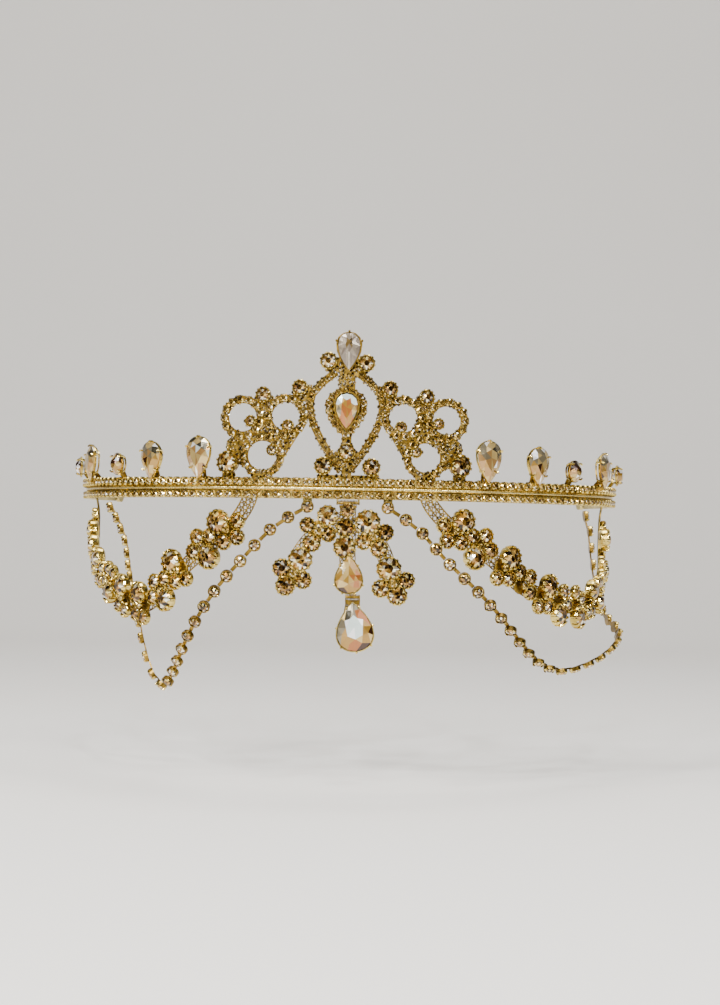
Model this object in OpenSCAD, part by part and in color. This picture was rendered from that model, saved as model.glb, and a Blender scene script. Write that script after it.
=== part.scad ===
// Engagement tiara: a stone-set band with an openwork crest, ten upright
// stones, two beaded garlands, two cup chains and a hinged centre pendant.
// Millimetres. X is right, the front faces -Y, Z is up. The origin is the
// centre of the head opening, level with the lower edge of the band.

/* [Band] */
// Outer radius of the band's strip
band_r = 76; // [70:0.5:84]
// Thickness of the strip
strip_t = 0.8; // [0.6:0.1:1.2]
// Height of the strip
band_h = 5.4; // [5:0.2:6.4]
// Angle from the front to where the stone rails end
rail_span = 101; // [95:1:110]
// Angle from the front to each end of the band
tail_span = 112; // [108:1:135]
// Height of each rail that carries a row of small stones
rail_h = 1.8; // [1.4:0.1:2]
// How far a rail stands out from the strip
rail_t = 0.7; // [0.5:0.1:0.9]
// Width of the half-round moulding between the rails
moulding_w = 1.4; // [1:0.1:1.6]

/* [Upright stones] */
// Width of an upright teardrop
drop_w = 7; // [6:0.5:7]
// Diameter of the setting of an upright round stone
upright_round_d = 5.8; // [4:0.2:6]

/* [Crest] */
// Thickness of the pierced crest plate
crest_t = 1; // [0.8:0.1:1.2]
// Width of a crest line that carries one row of stones
line_w = 2; // [1.6:0.1:2.2]
// Sideways shift of the two scrolls
scroll_shift = -1.3; // [-1.6:0.1:0]
// Sideways shift of the pointed frame round the centre stone
arch_shift = -0.9; // [-1.2:0.1:0]

/* [Garlands] */
// Width of the mesh ribbon that carries the clusters
ribbon_w = 4.4; // [3.6:0.2:5]
// Thickness of the mesh ribbon
ribbon_t = 0.6; // [0.5:0.1:0.8]
// Diameter of the one large setting in each cluster
cluster_large_d = 5.8; // [5:0.2:5.8]
// Diameter of the three small settings in each cluster
cluster_small_d = 3.8; // [3.2:0.2:3.8]

/* [Cup chains] */
// Diameter of a chain cup
chain_cup_d = 3.3; // [3:0.1:3.5]
// Distance from one chain cup to the next
chain_pitch = 5.7; // [5:0.1:6]
// Width of the flat bar between two cups
bar_w = 1; // [0.8:0.1:1.4]

/* [Pendant] */
// Width of the large hanging teardrop
large_drop_w = 9.4; // [9:0.2:10]
// Height of the large hanging teardrop
large_drop_h = 12.6; // [12.4:0.2:12.8]
// Diameter of the two hinge bars
hinge_bar_d = 0.8; // [0.7:0.1:0.9]

/* [Hidden] */
gold = "#d9b04a";
champagne = "#d9a877";
smooth = 64;

// Clearance between a stone and the metal that holds it
seat_gap = 0.1;
// Wall of a cup round its stone
cup_wall = 0.25;
// Diameter of the round stone that fits a round setting
function stone_d(setting) = setting - 2 * (seat_gap + cup_wall);

// Frames and curves

function unit(v) = v / norm(v);
function on_ring(r, a, z) = [r * sin(a), -r * cos(a), z];
function ring_out(a) = [sin(a), -cos(a), 0];
// The part of v that is square to the direction t, at unit length
function square_to(v, t) = unit(v - (v * t) * t);

// Puts children at p, with their Z along n and their Y along up
module place(p, n, up) {
    z = unit(n);
    y = square_to(up, z);
    x = cross(y, z);
    multmatrix([[x.x, y.x, z.x, p.x], [x.y, y.y, z.y, p.y], [x.z, y.z, z.z, p.z], [0, 0, 0, 1]])
        children();
}

// Point of a smooth curve through the rows of route, at u rows from its start
function row(route, i) = route[max(0, min(len(route) - 1, i))];
function curve(route, u) = let (
    i = min(len(route) - 2, floor(u)), f = u - i,
    a = row(route, i - 1), b = row(route, i), c = row(route, i + 1), d = row(route, i + 2))
    b + f * ((c - a) / 2 + f * ((2 * a - 5 * b + 4 * c - d) / 2 + f * (3 * b - a - 3 * c + d) / 2));
CURVE_STEPS = 12;
function curve_points(route) =
    [for (k = [0 : CURVE_STEPS * (len(route) - 1)]) curve(route, k / CURVE_STEPS)];
function running_length(points, k = 0, sum = 0) = k >= len(points) ? []
    : let (s = k == 0 ? 0 : sum + norm(points[k] - points[k - 1]))
        concat([s], running_length(points, k + 1, s));
// Points at equal steps of a given length along a route
function even_points(route, step) = let (
    points = curve_points(route), lengths = running_length(points), total = lengths[len(lengths) - 1])
    [for (s = [0 : step : total]) let (
        k = max(0, min(len(points) - 2, len([for (l = lengths) if (l <= s) 1]) - 1)),
        f = (s - lengths[k]) / (lengths[k + 1] - lengths[k]))
        points[k] + f * (points[k + 1] - points[k])];

// Cut stones

// Rings of a round stone: height and radius, both in stone radii
ROUND_RINGS = [[0.42, 0.6], [0.07, 1], [-0.07, 1]];
ROUND_CULET = -0.55;
ROUND_SIDES = 8;

// A teardrop outline with its tip at +Y, by the angle t from the tip
TEAR_POWER = 0.9;
TEAR_WIDEST = 0.786;
function tear_point(w, h, t) = [w / 2 * sin(t) * pow(sin(t / 2), TEAR_POWER) / TEAR_WIDEST, h / 2 * cos(t)];
TEAR_SIDES = 16;
function tear_outline(w, h) = [for (k = [0 : TEAR_SIDES - 1])
    let (t = 360 * k / TEAR_SIDES, p = tear_point(w, h, t > 180 ? 360 - t : t)) [t > 180 ? -p.x : p.x, p.y]];

// A closed many-sided stone from rings of points, listed from the table down, and a culet
function ring_faces(n, rings, base) = concat(
    [[for (k = [0 : n - 1]) base + n - 1 - k]],
    [for (r = [0 : rings - 2]) for (k = [0 : n - 1]) let (j = (k + 1) % n)
        [base + r * n + k, base + r * n + j, base + (r + 1) * n + j, base + (r + 1) * n + k]],
    [for (k = [0 : n - 1]) let (last = base + (rings - 1) * n)
        [last + k, last + (k + 1) % n, base + rings * n]]);

// A field of loose round stones; each row of list is [place of the girdle, facing, diameter]
module round_stones(list) {
    n = ROUND_SIDES;
    per = 3 * n + 1;
    points = [for (s = list) let (
        z = unit(s[1]), x = square_to(abs(z.z) < 0.9 ? [0, 0, 1] : [1, 0, 0], z),
        y = cross(z, x), r = s[2] / 2)
        each concat(
            [for (ring = ROUND_RINGS) for (k = [0 : n - 1]) let (a = 360 * (k + 0.5) / n)
                s[0] + r * (ring[0] * z + ring[1] * (cos(a) * x + sin(a) * y))],
            [s[0] + r * ROUND_CULET * z])];
    faces = [for (i = [0 : len(list) - 1]) each ring_faces(n, 3, i * per)];
    polyhedron(points, faces, convexity = 8);
}

// Crown height and pavilion depth of a teardrop, by its width
function tear_crown(w) = 0.16 * w;
function tear_pavilion(w) = 0.18 * w;
TABLE_SCALE = 0.56;
GIRDLE = 0.12;
// Shift of the culet from the middle, towards the round end
function tear_belly(h) = -0.1 * h;

// One teardrop stone, its girdle at z = 0, its table at +Z and its tip at +Y
module tear_stone(w, h) {
    n = TEAR_SIDES;
    edge = tear_outline(w, h);
    belly = [0, tear_belly(h)];
    function inset(s) = [for (p = edge) belly + s * (p - belly)];
    function level(outline, z) = [for (p = outline) [p.x, p.y, z]];
    points = concat(
        level(inset(TABLE_SCALE), tear_crown(w)), level(inset(0.82), 0.6 * tear_crown(w)),
        level(edge, GIRDLE), level(edge, -GIRDLE), level(inset(0.55), -0.6 * tear_pavilion(w)),
        [[belly.x, belly.y, -tear_pavilion(w)]]);
    polyhedron(points, [for (f = ring_faces(n, 5, 0)) [for (k = [len(f) - 1 : -1 : 0]) f[k]]]);
}

// Settings

TEAR_FLOOR = 0.35;
function tear_cup_depth(w) = tear_pavilion(w) + seat_gap + TEAR_FLOOR;
PRONG_R = 0.3;
PRONG_RISE = 0.5;
// Distance from a cup's wall to the middle line of its prongs
PRONG_OUT = 0.07;
// Angles from the tip at which the prongs of a teardrop stand
TEAR_PRONGS = [0, 62, 122, 180, 238, 298];

// An open teardrop cup with prongs, for a stone whose girdle is at z = 0; stand is extra metal
// under its floor
module tear_cup(w, h, prongs = TEAR_PRONGS, stand = 0) {
    depth = tear_cup_depth(w) + stand;
    outer = 2 * (seat_gap + cup_wall);
    difference() {
        translate([0, 0, -depth]) linear_extrude(depth) polygon(tear_outline(w + outer, h + outer));
        translate([0, 0, TEAR_FLOOR + stand - depth]) linear_extrude(depth)
            polygon(tear_outline(w + 2 * seat_gap, h + 2 * seat_gap));
    }
    for (t = prongs) {
        p = tear_point(w + outer + 2 * PRONG_OUT, h + outer + 2 * PRONG_OUT, t > 180 ? 360 - t : t);
        translate([t > 180 ? -p.x : p.x, p.y, -depth]) {
            cylinder(r = PRONG_R, h = depth + PRONG_RISE, $fn = 16);
            translate([0, 0, depth + PRONG_RISE]) sphere(r = PRONG_R, $fn = 16);
        }
    }
}

CUP_FLOOR = 0.25;
function round_cup_depth(d) = -ROUND_CULET * stone_d(d) / 2 + seat_gap + CUP_FLOOR;
// A round cup of outer diameter d, for a stone whose girdle is at z = 0
module round_cup(d) {
    depth = round_cup_depth(d);
    translate([0, 0, -depth]) difference() {
        cylinder(d = d, h = depth, $fn = smooth);
        translate([0, 0, CUP_FLOOR]) cylinder(d = d - 2 * cup_wall, h = depth, $fn = smooth);
    }
}

// Upright stones on the band

// Angle from the front, height of the middle, height of the teardrop or 0 for a round stone
UPRIGHTS = [[29.2, 10.5, 10.5], [41.4, 9.8, 9.6], [52.6, 9.1, 0], [65.8, 9.4, 9.6], [78.2, 9, 0]];
// How far all the uprights sit round to the left
UPRIGHT_TURN = -1.2;
function upright_angle(side, i) = side * UPRIGHTS[i][0] + UPRIGHT_TURN;
UPRIGHT_R = band_r + 2.8;
function upright_depth(h) = h > 0 ? tear_cup_depth(drop_w) : round_cup_depth(upright_round_d);

// Stands children on the band, their Z outwards and their Y down for a teardrop's tip
module at_upright(side, i) place(on_ring(UPRIGHT_R, upright_angle(side, i), UPRIGHTS[i][1]),
    ring_out(upright_angle(side, i)), [0, 0, -1]) children();

module upright_setting(side, i) {
    z = UPRIGHTS[i][1];
    h = UPRIGHTS[i][2];
    depth = upright_depth(h);
    at_upright(side, i) {
        if (h > 0) tear_cup(drop_w, h);
        else {
            round_cup(upright_round_d);
            for (a = [45 : 90 : 315]) rotate(a) translate([upright_round_d / 2 + PRONG_OUT, 0, -depth])
                cylinder(r = PRONG_R, h = depth + PRONG_RISE, $fn = 16);
        }
    }
    stem_w = 2.6;
    foot_w = 3.8;
    rotate(upright_angle(side, i)) translate([0, -band_r, 0]) {
        translate([-stem_w / 2, -UPRIGHT_R + band_r + depth - 0.2, band_h - 1])
            cube([stem_w, UPRIGHT_R - band_r - depth + 0.2 + strip_t, z - band_h + 1]);
        translate([-foot_w / 2, -0.4, band_h - 0.4]) cube([foot_w, 0.4 + strip_t, 1.2]);
    }
}

module side_stone(side, i) color(champagne) at_upright(side, i)
    if (UPRIGHTS[i][2] > 0) tear_stone(drop_w, UPRIGHTS[i][2]);
    else round_stones([[[0, 0, 0], [0, 0, 1], stone_d(upright_round_d)]]);

// Band

// Slices the band from one angle to another, measured from the front
module arc_of(from, to) rotate(from - 90) rotate_extrude(angle = to - from, $fn = 4 * smooth) children();

module band_section() {
    translate([band_r - strip_t, 0]) square([strip_t, band_h]);
    for (z = [0.15, band_h - 0.15 - rail_h]) translate([band_r - 0.1, z]) square([rail_t + 0.1, rail_h]);
    translate([band_r, band_h / 2]) intersection() {
        circle(d = moulding_w, $fn = smooth);
        translate([-0.1, -1]) square([2, 2]);
    }
}

// Height of the plain tails, and diameter of the disc that ends each one
TAIL_H = 2.4;
TAIL_END_D = 3;
module band() color(gold) {
    arc_of(-rail_span, rail_span) band_section();
    for (side = [-1, 1]) {
        rotate(side * (tail_span + rail_span - 0.5) / 2)
            arc_of((rail_span - 0.5 - tail_span) / 2, (tail_span + 0.5 - rail_span) / 2)
                translate([band_r - strip_t + 0.05, 0]) square([strip_t - 0.1, TAIL_H]);
        rotate(side * (tail_span - 0.4)) translate([0, -band_r - 0.2, TAIL_H / 2]) rotate([-90, 0, 0])
            cylinder(d = TAIL_END_D, h = strip_t + 0.4, $fn = smooth);
        for (i = [0 : len(UPRIGHTS) - 1]) upright_setting(side, i);
    }
    pendant_bar();
}

// Crest, drawn flat as seen from the front and wrapped round the band

function pear(w, h, mid) = [for (p = tear_outline(w, h)) [p.x, mid - p.y]];
// A line of width line_w along the points of a path
function path_normal(path, i) = let (
    t = unit(row(path, i + 1) - row(path, i - 1))) [-t.y, t.x];
module crest_line(path, w = line_w) polygon(concat(
    [for (i = [0 : len(path) - 1]) path[i] + w / 2 * path_normal(path, i)],
    [for (i = [len(path) - 1 : -1 : 0]) path[i] - w / 2 * path_normal(path, i)]));

// Half of the pointed frame round the centre stone: across, up
ARCH = [[2, 33.3], [3.8, 32.4], [6.5, 30.2], [8.9, 27.3], [9.5, 24.6], [9.2, 21.6], [8.1, 18.6], [6.6, 15.6],
    [4.9, 12.8], [3, 10], [1.2, 7.4]];

// The three scroll loops: across, up, radius of the hole
LOOPS = [[26.8, 21.2, 3.7], [15.3, 21.5, 3.7], [21.4, 11.2, 3.8]];
// The stone at the inner end of each scroll: across, up, diameter of its setting
SCROLL_ENDS = [[24.7, 20.2, 2.8], [14.8, 19, 3], [18.9, 12.6, 2.8]];
// The webs between the loops, filled with fine stones
WEBS = [
    [[18.9, 27], [23.5, 27], [23, 22], [24.2, 17.4], [21.4, 15], [18.4, 17.5], [19.8, 21.5]],
    [[10.9, 18.3], [18.4, 18.6], [21.6, 15.4], [17.6, 13.8], [16.8, 9.5], [19.3, 5.8], [18.3, 6.4]],
    [[21.2, 15.4], [23.8, 17.8], [28.9, 16.7], [31, 15], [31, 12], [28.4, 11.4], [27.3, 8.8], [25, 8.4],
        [25.8, 11.3], [24.6, 14]],
    [[18.7, 7], [18.7, 5.2], [24.2, 5.2], [24, 6.8]],
    [[28.9, 8.4], [28.5, 5.2], [32.2, 5.2], [31.8, 8.4]],
    [[8.6, 29.8], [13.8, 28.6], [13.4, 26], [9, 25]]];

// Round stones of the crest: across, up, diameter of the setting, and the shift they follow
CREST_ROUNDS = [
    [-5.7, 36, 4.4, 0], [4.2, 35.5, 4.4, 0], [-0.6, 12.3, 4.4, 0], [-6.7, 8.6, 4.6, 0], [5.9, 8.4, 4.6, 0],
    [21.5, 27.1, 3.9, 1], [11.8, 29, 4, 1], [30.8, 9.3, 5.7, 1]];
function crest_rounds() = [for (s = CREST_ROUNDS) each s[3] == 0 ? [[s.x, s.y, s.z]]
    : [for (side = [-1, 1]) [side * s.x + scroll_shift, s.y, s.z]]];
function scroll_ends() = [for (s = SCROLL_ENDS) for (side = [-1, 1]) [side * s.x + scroll_shift, s.y, s.z]];

// Teardrops of the crest and the plate round the middle one: width, height, up, across
CENTER_DROP = [6.2, 9.8, 22.9, -0.8];
HALO = [10.9, 13, 22.4, -0.9];
TOP_DROP = [6.2, 9.6, 38.5, -0.4];

module scroll_outline() {
    difference() {
        union() {
            for (l = LOOPS) translate([l.x, l.y]) circle(r = l.z + line_w, $fn = smooth);
            for (w = WEBS) polygon(w);
        }
        for (l = LOOPS) translate([l.x, l.y]) circle(r = l.z, $fn = smooth);
    }
    for (s = SCROLL_ENDS) translate([s.x, s.y]) circle(d = s.z + 0.2, $fn = smooth);
}

module crest_outline() {
    for (side = [0, 1]) {
        translate([scroll_shift, 0]) mirror([side, 0]) scroll_outline();
        translate([arch_shift, 0]) mirror([side, 0]) crest_line(ARCH);
    }
    polygon([[-4.9, 32.2], [-6.9, 34.6], [-3.5, 37], [2.9, 36.6], [5.8, 34.2], [3.4, 32.2]]);
    translate([-3, 28]) square([4.4, 5]);
    translate([HALO[3], 0]) polygon(pear(HALO[0], HALO[1], HALO[2]));
    translate([-1.9, 13.4]) square([2.5, 4]);
    polygon([[-4.4, 11.8], [-2, 7.2], [-1.7, band_h], [0.5, band_h], [0.8, 7.2], [3.1, 11.8],
        [1.3, 13.4], [-2.3, 13.4]]);
    polygon([[-8.2, band_h], [-7.6, 7.6], [-5.6, 7.6], [-5, band_h]]);
    polygon([[4.4, band_h], [5.2, 7.6], [7.2, 7.6], [8, band_h]]);
    translate([-8.2, band_h]) square([16.2, 0.9]);
}

// Wraps a flat outline round the band, between two radii
module wrapped(from_r, to_r) intersection() {
    translate([0, -20, 0]) rotate([90, 0, 0]) linear_extrude(80) children();
    translate([0, 0, band_h]) difference() {
        cylinder(r = to_r, h = 60, $fn = 8 * smooth);
        translate([0, 0, -1]) cylinder(r = from_r, h = 62, $fn = 8 * smooth);
    }
}

CREST_IN = band_r - strip_t;
CREST_OUT = CREST_IN + crest_t;
function crest_angle(u, r) = asin(u / r);
function crest_point(u, v, r) = [u, -sqrt(r * r - u * u), v];
// How far the girdle of a crest teardrop stands out from the plate
DROP_STAND = 1.4;
// Radius from the band's axis to the girdle of a round crest stone
function crest_round_r(d) = CREST_OUT + round_cup_depth(d) - 0.1;

module crest_cup(s) {
    r = crest_round_r(s.z);
    place(crest_point(s.x, s.y, r), ring_out(crest_angle(s.x, r)), [0, 0, 1]) round_cup(s.z);
}

module at_crest_drop(drop)
    place(crest_point(drop[3], drop[2], CREST_OUT + DROP_STAND), [0, -1, 0], [0, 0, -1]) children();

module crest_frame() color(gold) {
    wrapped(CREST_IN, CREST_OUT) crest_outline();
    for (s = crest_rounds()) crest_cup(s);
    for (s = scroll_ends()) crest_cup(s);
    for (drop = [CENTER_DROP, TOP_DROP]) at_crest_drop(drop) tear_cup(drop[0], drop[1]);
}

module crest_round_stones() color(champagne) round_stones([for (s = concat(crest_rounds(), scroll_ends()))
    let (r = crest_round_r(s.z)) [crest_point(s.x, s.y, r), ring_out(crest_angle(s.x, r)), stone_d(s.z)]]);
module crest_top_stone() color("#d8d2c8") at_crest_drop(TOP_DROP) tear_stone(TOP_DROP[0], TOP_DROP[1]);
module crest_center_stone() color("#dd9a66") at_crest_drop(CENTER_DROP)
    tear_stone(CENTER_DROP[0], CENTER_DROP[1]);

// Garlands

NONE = -1;
// Route of each ribbon: angle from the front, radius, height, and the turn of the cluster's
// large stone clockwise from the top, or NONE where the ribbon is bare
GARLAND_R = [
    [15.5, 74.7, 3.4, NONE], [17.8, 72.4, -1.6, NONE], [23, 71.6, -7.6, 41], [29.2, 70.8, -12, 212],
    [35.8, 70.5, -17.2, 38], [41.3, 70.5, -22, 233], [48.3, 70.5, -24.8, 37], [54.8, 70.8, -27.2, 204],
    [61.7, 71.2, -27.8, 170], [69.2, 71.8, -26.6, 30], [77, 72.3, -24.6, 215], [84.5, 72.8, -19, 80],
    [87.5, 73, -9.4, 270], [88.6, 73.4, -2, NONE], [89, 74.7, 3.4, NONE]];
GARLAND_L = [
    [19.5, 74.7, 3.4, NONE], [21.8, 72.5, -2, NONE], [26, 71.6, -8.2, 54], [32.2, 70.8, -13.3, 218],
    [39.2, 70.5, -19.3, 48], [44.8, 70.5, -25.3, 228], [51.2, 70.8, -29.2, 20], [58.4, 71.3, -27.4, 15],
    [65.6, 71.8, -23.2, 200], [73, 72.3, -20, 25], [80.8, 72.8, -16.4, 20], [87.4, 73, -8.2, 250],
    [88.4, 73.4, -2, NONE], [89, 74.7, 3.4, NONE]];
function garland_rows(side) = side > 0 ? GARLAND_R : GARLAND_L;
function garland_route(side) = [for (g = garland_rows(side)) on_ring(g[1], side * g[0], g[2])];

// A cluster: how far its settings' bases stand out from the ribbon's middle, how far each
// setting is from the cluster's centre, and the turns of the small ones from the large one
BASE_OUT = 0.3;
LARGE_OUT = 3.2;
SMALL_OUT = 3.6;
SMALL_TURNS = [110, 180, 250];
// A setting is [place of the girdle, facing, outer diameter]; its base is sunk in the ribbon
function cluster_setting(g, side, turn, away, d) = let (
    out = ring_out(side * g[0]), across = [-out.y, out.x, 0],
    foot = on_ring(g[1] + BASE_OUT, side * g[0], g[2]))
    [foot + away * (sin(side * turn) * across + cos(turn) * [0, 0, 1]) + round_cup_depth(d) * out, out, d];
function cluster(g, side) = concat([cluster_setting(g, side, g[3], LARGE_OUT, cluster_large_d)],
    [for (t = SMALL_TURNS) cluster_setting(g, side, g[3] + t, SMALL_OUT, cluster_small_d)]);
// True where a setting keeps its distance from each one of a list
SETTING_GAP = 0.25;
function is_clear(setting, list) = 0 == len([for (s = list)
    if (norm(s[0] - setting[0]) < (s[2] + setting[2]) / 2 + SETTING_GAP) 1]);
// All settings of a garland; one that would touch the cluster before it is left out
function garland_settings(side) = let (
    clusters = [for (g = garland_rows(side)) if (g[3] != NONE) cluster(g, side)])
    [for (i = [0 : len(clusters) - 1]) for (s = clusters[i]) if (i == 0 || is_clear(s, clusters[i - 1])) s];
// The stones that fit a list of settings
function stones_of(settings) = [for (s = settings) [s[0], s[1], stone_d(s[2])]];

// A flat strip swept along points, its face turned outwards from the band's axis
module ribbon(points, w, t) {
    corners = [[-w / 2, -t / 2], [w / 2, -t / 2], [w / 2, t / 2], [-w / 2, t / 2]];
    n = len(points);
    ring = [for (i = [0 : n - 1]) let (
        along = unit(row(points, i + 1) - row(points, i - 1)),
        out = square_to([points[i].x, points[i].y, 0], along), across = cross(out, along))
        for (c = corners) points[i] + c.x * across + c.y * out];
    faces = concat([[0, 1, 2, 3]], [for (i = [0 : n - 2]) for (k = [0 : 3]) let (j = (k + 1) % 4)
        [4 * i + k, 4 * i + 4 + k, 4 * i + 4 + j, 4 * i + j]], [[for (k = [3 : -1 : 0]) 4 * (n - 1) + k]]);
    polyhedron(ring, faces, convexity = 8);
}
RIBBON_STEP = 3;
// The disc behind each cluster
BACKING_D = 6.6;
BACKING_T = 0.75;

module garland_frame(side) color(gold) {
    ribbon(even_points(garland_route(side), RIBBON_STEP), ribbon_w, ribbon_t);
    for (g = garland_rows(side)) if (g[3] != NONE)
        place(on_ring(g[1] - 0.15, side * g[0], g[2]), ring_out(side * g[0]), [0, 0, 1])
            cylinder(d = BACKING_D, h = BACKING_T, $fn = smooth);
    for (s = garland_settings(side)) place(s[0], s[1], [0, 0, 1]) round_cup(s[2]);
}
module garland_stone_field(side) color(champagne) round_stones(stones_of(garland_settings(side)));

// Cup chains

// Route of each chain from the front of the band to its back: a point, and how the cups face there
CHAIN_R = [
    [[10.4, -77, -2.1], [0, -1, 0]], [[18.6, -75.8, -7.7], [0, -1, 0]],
    [[26.2, -72.8, -15.9], [0.05, -1, -0.1]], [[34, -69, -23.2], [0, -1, -0.25]],
    [[40.6, -63, -30.4], [-0.2, -0.85, -0.5]], [[46.3, -55.5, -37.3], [-0.25, -0.7, -0.65]],
    [[52.4, -47, -43.5], [-0.2, -0.5, -0.85]], [[59.7, -38.5, -46.3], [0, -0.3, -1]],
    [[68.9, -30, -44.2], [0.4, -0.1, -0.9]], [[76, -21.5, -40], [0.8, 0, -0.6]],
    [[78.5, -12, -36], [1, 0.1, -0.3]], [[76, 0, -31.4], [1, 0.1, 0.1]], [[74.6, 6.5, -26], [1, 0, 0]],
    [[73.8, 11, -20], [1, 0, 0]], [[73.2, 15, -13], [1, 0, 0]], [[72.9, 18, -7], [1, 0, 0]],
    [[71.9, 21.5, -2.2], [1, 0, 0]]];
CHAIN_L = [
    [[-10.6, -77, -2.1], [0, -1, 0]], [[-19.4, -76, -7.5], [0, -1, 0]],
    [[-26.9, -75, -15.5], [0, -1, -0.1]], [[-34.3, -71, -24.1], [0, -1, -0.2]],
    [[-40.1, -65, -32.8], [-0.2, -0.9, -0.3]], [[-44.2, -57.5, -40.6], [-0.4, -0.8, -0.4]],
    [[-47.2, -48.5, -47.4], [-0.5, -0.6, -0.6]], [[-50.7, -39.5, -52], [-0.6, -0.3, -0.9]],
    [[-54.8, -34, -48], [-1, -0.1, -0.5]], [[-57.5, -31, -40.4], [-1, -0.1, -0.2]],
    [[-59.4, -26, -34], [-1, 0, -0.1]], [[-61.8, -16, -27.5], [-1, 0, 0]],
    [[-64.5, -4, -19.7], [-1, 0, 0]], [[-66.5, 5, -12.5], [-1, 0, 0]], [[-70, 13.5, -5.8], [-1, 0, 0]],
    [[-72.6, 18.5, -2.2], [-1, 0, 0]]];
CHAIN_WALL = 0.2;
chain_stone_d = chain_cup_d - 2 * (seat_gap + CHAIN_WALL);
chain_cup_depth = -ROUND_CULET * chain_stone_d / 2 + seat_gap + CUP_FLOOR;
BAR_T = 0.4;
BAR_GAP = 0.25;

// Every cup of a chain, evenly spaced, as [place, facing, direction of the chain]
FACING_WEIGHT = 12;
function chain_cups(side) = let (
    fine = curve_points([for (r = side > 0 ? CHAIN_R : CHAIN_L) concat(r[0], FACING_WEIGHT * unit(r[1]))]),
    places = [for (f = fine) [f[0], f[1], f[2]]], facings = [for (f = fine) [f[3], f[4], f[5]]],
    lengths = running_length(places), total = lengths[len(lengths) - 1], count = floor(total / chain_pitch))
    [for (c = [0 : count]) let (
        s = total * c / count, k = max(0, min(len(fine) - 2, len([for (l = lengths) if (l <= s) 1]) - 1)),
        f = (s - lengths[k]) / (lengths[k + 1] - lengths[k]), t = unit(places[k + 1] - places[k]))
        [places[k] + f * (places[k + 1] - places[k]), square_to(facings[k], t), t]];
// Middle of a cup's base, where its bar starts
function cup_base(cup) = cup[0] - (chain_cup_depth - BAR_T / 2) * cup[1];

module chain_cup(cup) place(cup[0], cup[1], cup[2]) difference() {
    translate([0, 0, -chain_cup_depth]) cylinder(d = chain_cup_d, h = chain_cup_depth, $fn = 32);
    translate([0, 0, CUP_FLOOR - chain_cup_depth])
        cylinder(d = chain_cup_d - 2 * CHAIN_WALL, h = chain_cup_depth, $fn = 32);
}
// The flat bar from one cup's base to just short of the next cup
module chain_bar(cup, next) {
    run = cup_base(next) - cup_base(cup);
    place(cup_base(cup), square_to(cup[1] + next[1], unit(run)), run)
        translate([-bar_w / 2, chain_cup_d / 2 - 0.3, -BAR_T / 2])
            cube([bar_w, norm(run) - chain_cup_d + 0.3 - BAR_GAP, BAR_T]);
}
module chain_links(side) color(gold) {
    cups = chain_cups(side);
    for (c = cups) chain_cup(c);
    for (i = [0 : len(cups) - 2]) chain_bar(cups[i], cups[i + 1]);
}
module chain_stone_field(side) color(champagne)
    round_stones([for (c = chain_cups(side)) [c[0], c[1], chain_stone_d]]);

// Pendant, drawn in the X-Z plane and hung under the front of the band

// Hinge lines, as [y, z]
PENDANT_AXIS = [-76.25, -0.95];
DROP_AXIS = [-77.55, -25.4];
TUBE_R = hinge_bar_d / 2 + 0.38;
BORE_R = hinge_bar_d / 2 + 0.12;
// Front face of the ribbon that carries the pendant's cups
PENDANT_FACE = -74.9;
TOP_STONE = [0, -2.9, 4.2];
TOP_STONE_Y = -78.4;
// Round settings of the pendant: across, up, diameter
PENDANT_ROUNDS = [[-5.3, -4.3, 6], [-10.5, -6.9, 3.7], [-5, -9.2, 3.6], [-9.3, -11.5, 4.2],
    [-0.7, -7.5, 4.4], [-0.7, -12.5, 5.3],
    [5.2, -5.9, 5.9], [9.8, -8.5, 3.9], [4.3, -11, 3.8], [8.3, -12.8, 4.1],
    [-12.2, -15.9, 5.7], [-16.9, -18.2, 4.5], [-16, -22.8, 4.6], [-11.5, -21.2, 4.2],
    [10.9, -17.9, 5.8], [15.5, -20.9, 4], [8.9, -23.1, 4.2], [13.2, -24.8, 4.7]];
// Middle lines of the two arms
ARM_L = [[-0.5, -5], [-6.5, -7.4], [-10.6, -11.6], [-13.4, -16.5], [-14.3, -22]];
ARM_R = [[0.5, -6.5], [5.6, -8.6], [8.9, -12.6], [10.6, -17], [12, -23.6]];
UPPER_DROP = [0.5, -19.6];
UPPER_DROP_H = 9.6;
UPPER_PRONGS = [62, 122, 160, 200, 238, 298];
LOWER_DROP = [2.2, -33.1];
LOWER_DROP_Y = -78;
// The lower drop hangs with its foot a little to the right
LOWER_UP = [-0.1, 0, 1];
DROP_HINGE_X = 1.6;
LOWER_PRONGS = [42, 90, 140, 180, 220, 270, 318];

module along_x(from, to, axis) translate([from, axis[0], axis[1]]) rotate([0, 90, 0])
    linear_extrude(to - from) children();

// The bar and two ears under the band that the pendant hangs on
EAR_IN = 2.45;
EAR_OUT = 3.05;
module pendant_bar() {
    along_x(-EAR_OUT, EAR_OUT, PENDANT_AXIS) circle(d = hinge_bar_d, $fn = smooth);
    for (x = [-EAR_OUT, EAR_IN]) translate([x, PENDANT_AXIS[0] - 0.5, PENDANT_AXIS[1] - 0.5])
        cube([EAR_OUT - EAR_IN, 1.3, 0.8 - PENDANT_AXIS[1]]);
}

// Every round setting of the pendant as [place of the girdle, facing, diameter]
CUP_SINK = 0.2;
PENDANT_SETTINGS = concat([[[TOP_STONE.x, TOP_STONE_Y, TOP_STONE.y], [0, -1, 0], TOP_STONE.z]],
    [for (s = PENDANT_ROUNDS)
        [[s.x, PENDANT_FACE + CUP_SINK - round_cup_depth(s.z), s.y], [0, -1, 0], s.z]]);
UPPER_STAND = 0.9;
UPPER_DROP_Y = PENDANT_FACE + CUP_SINK - tear_cup_depth(drop_w) - UPPER_STAND;

module upright_plate(from_y, to_y) translate([0, to_y, 0]) rotate([90, 0, 0])
    linear_extrude(to_y - from_y) children();

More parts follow.
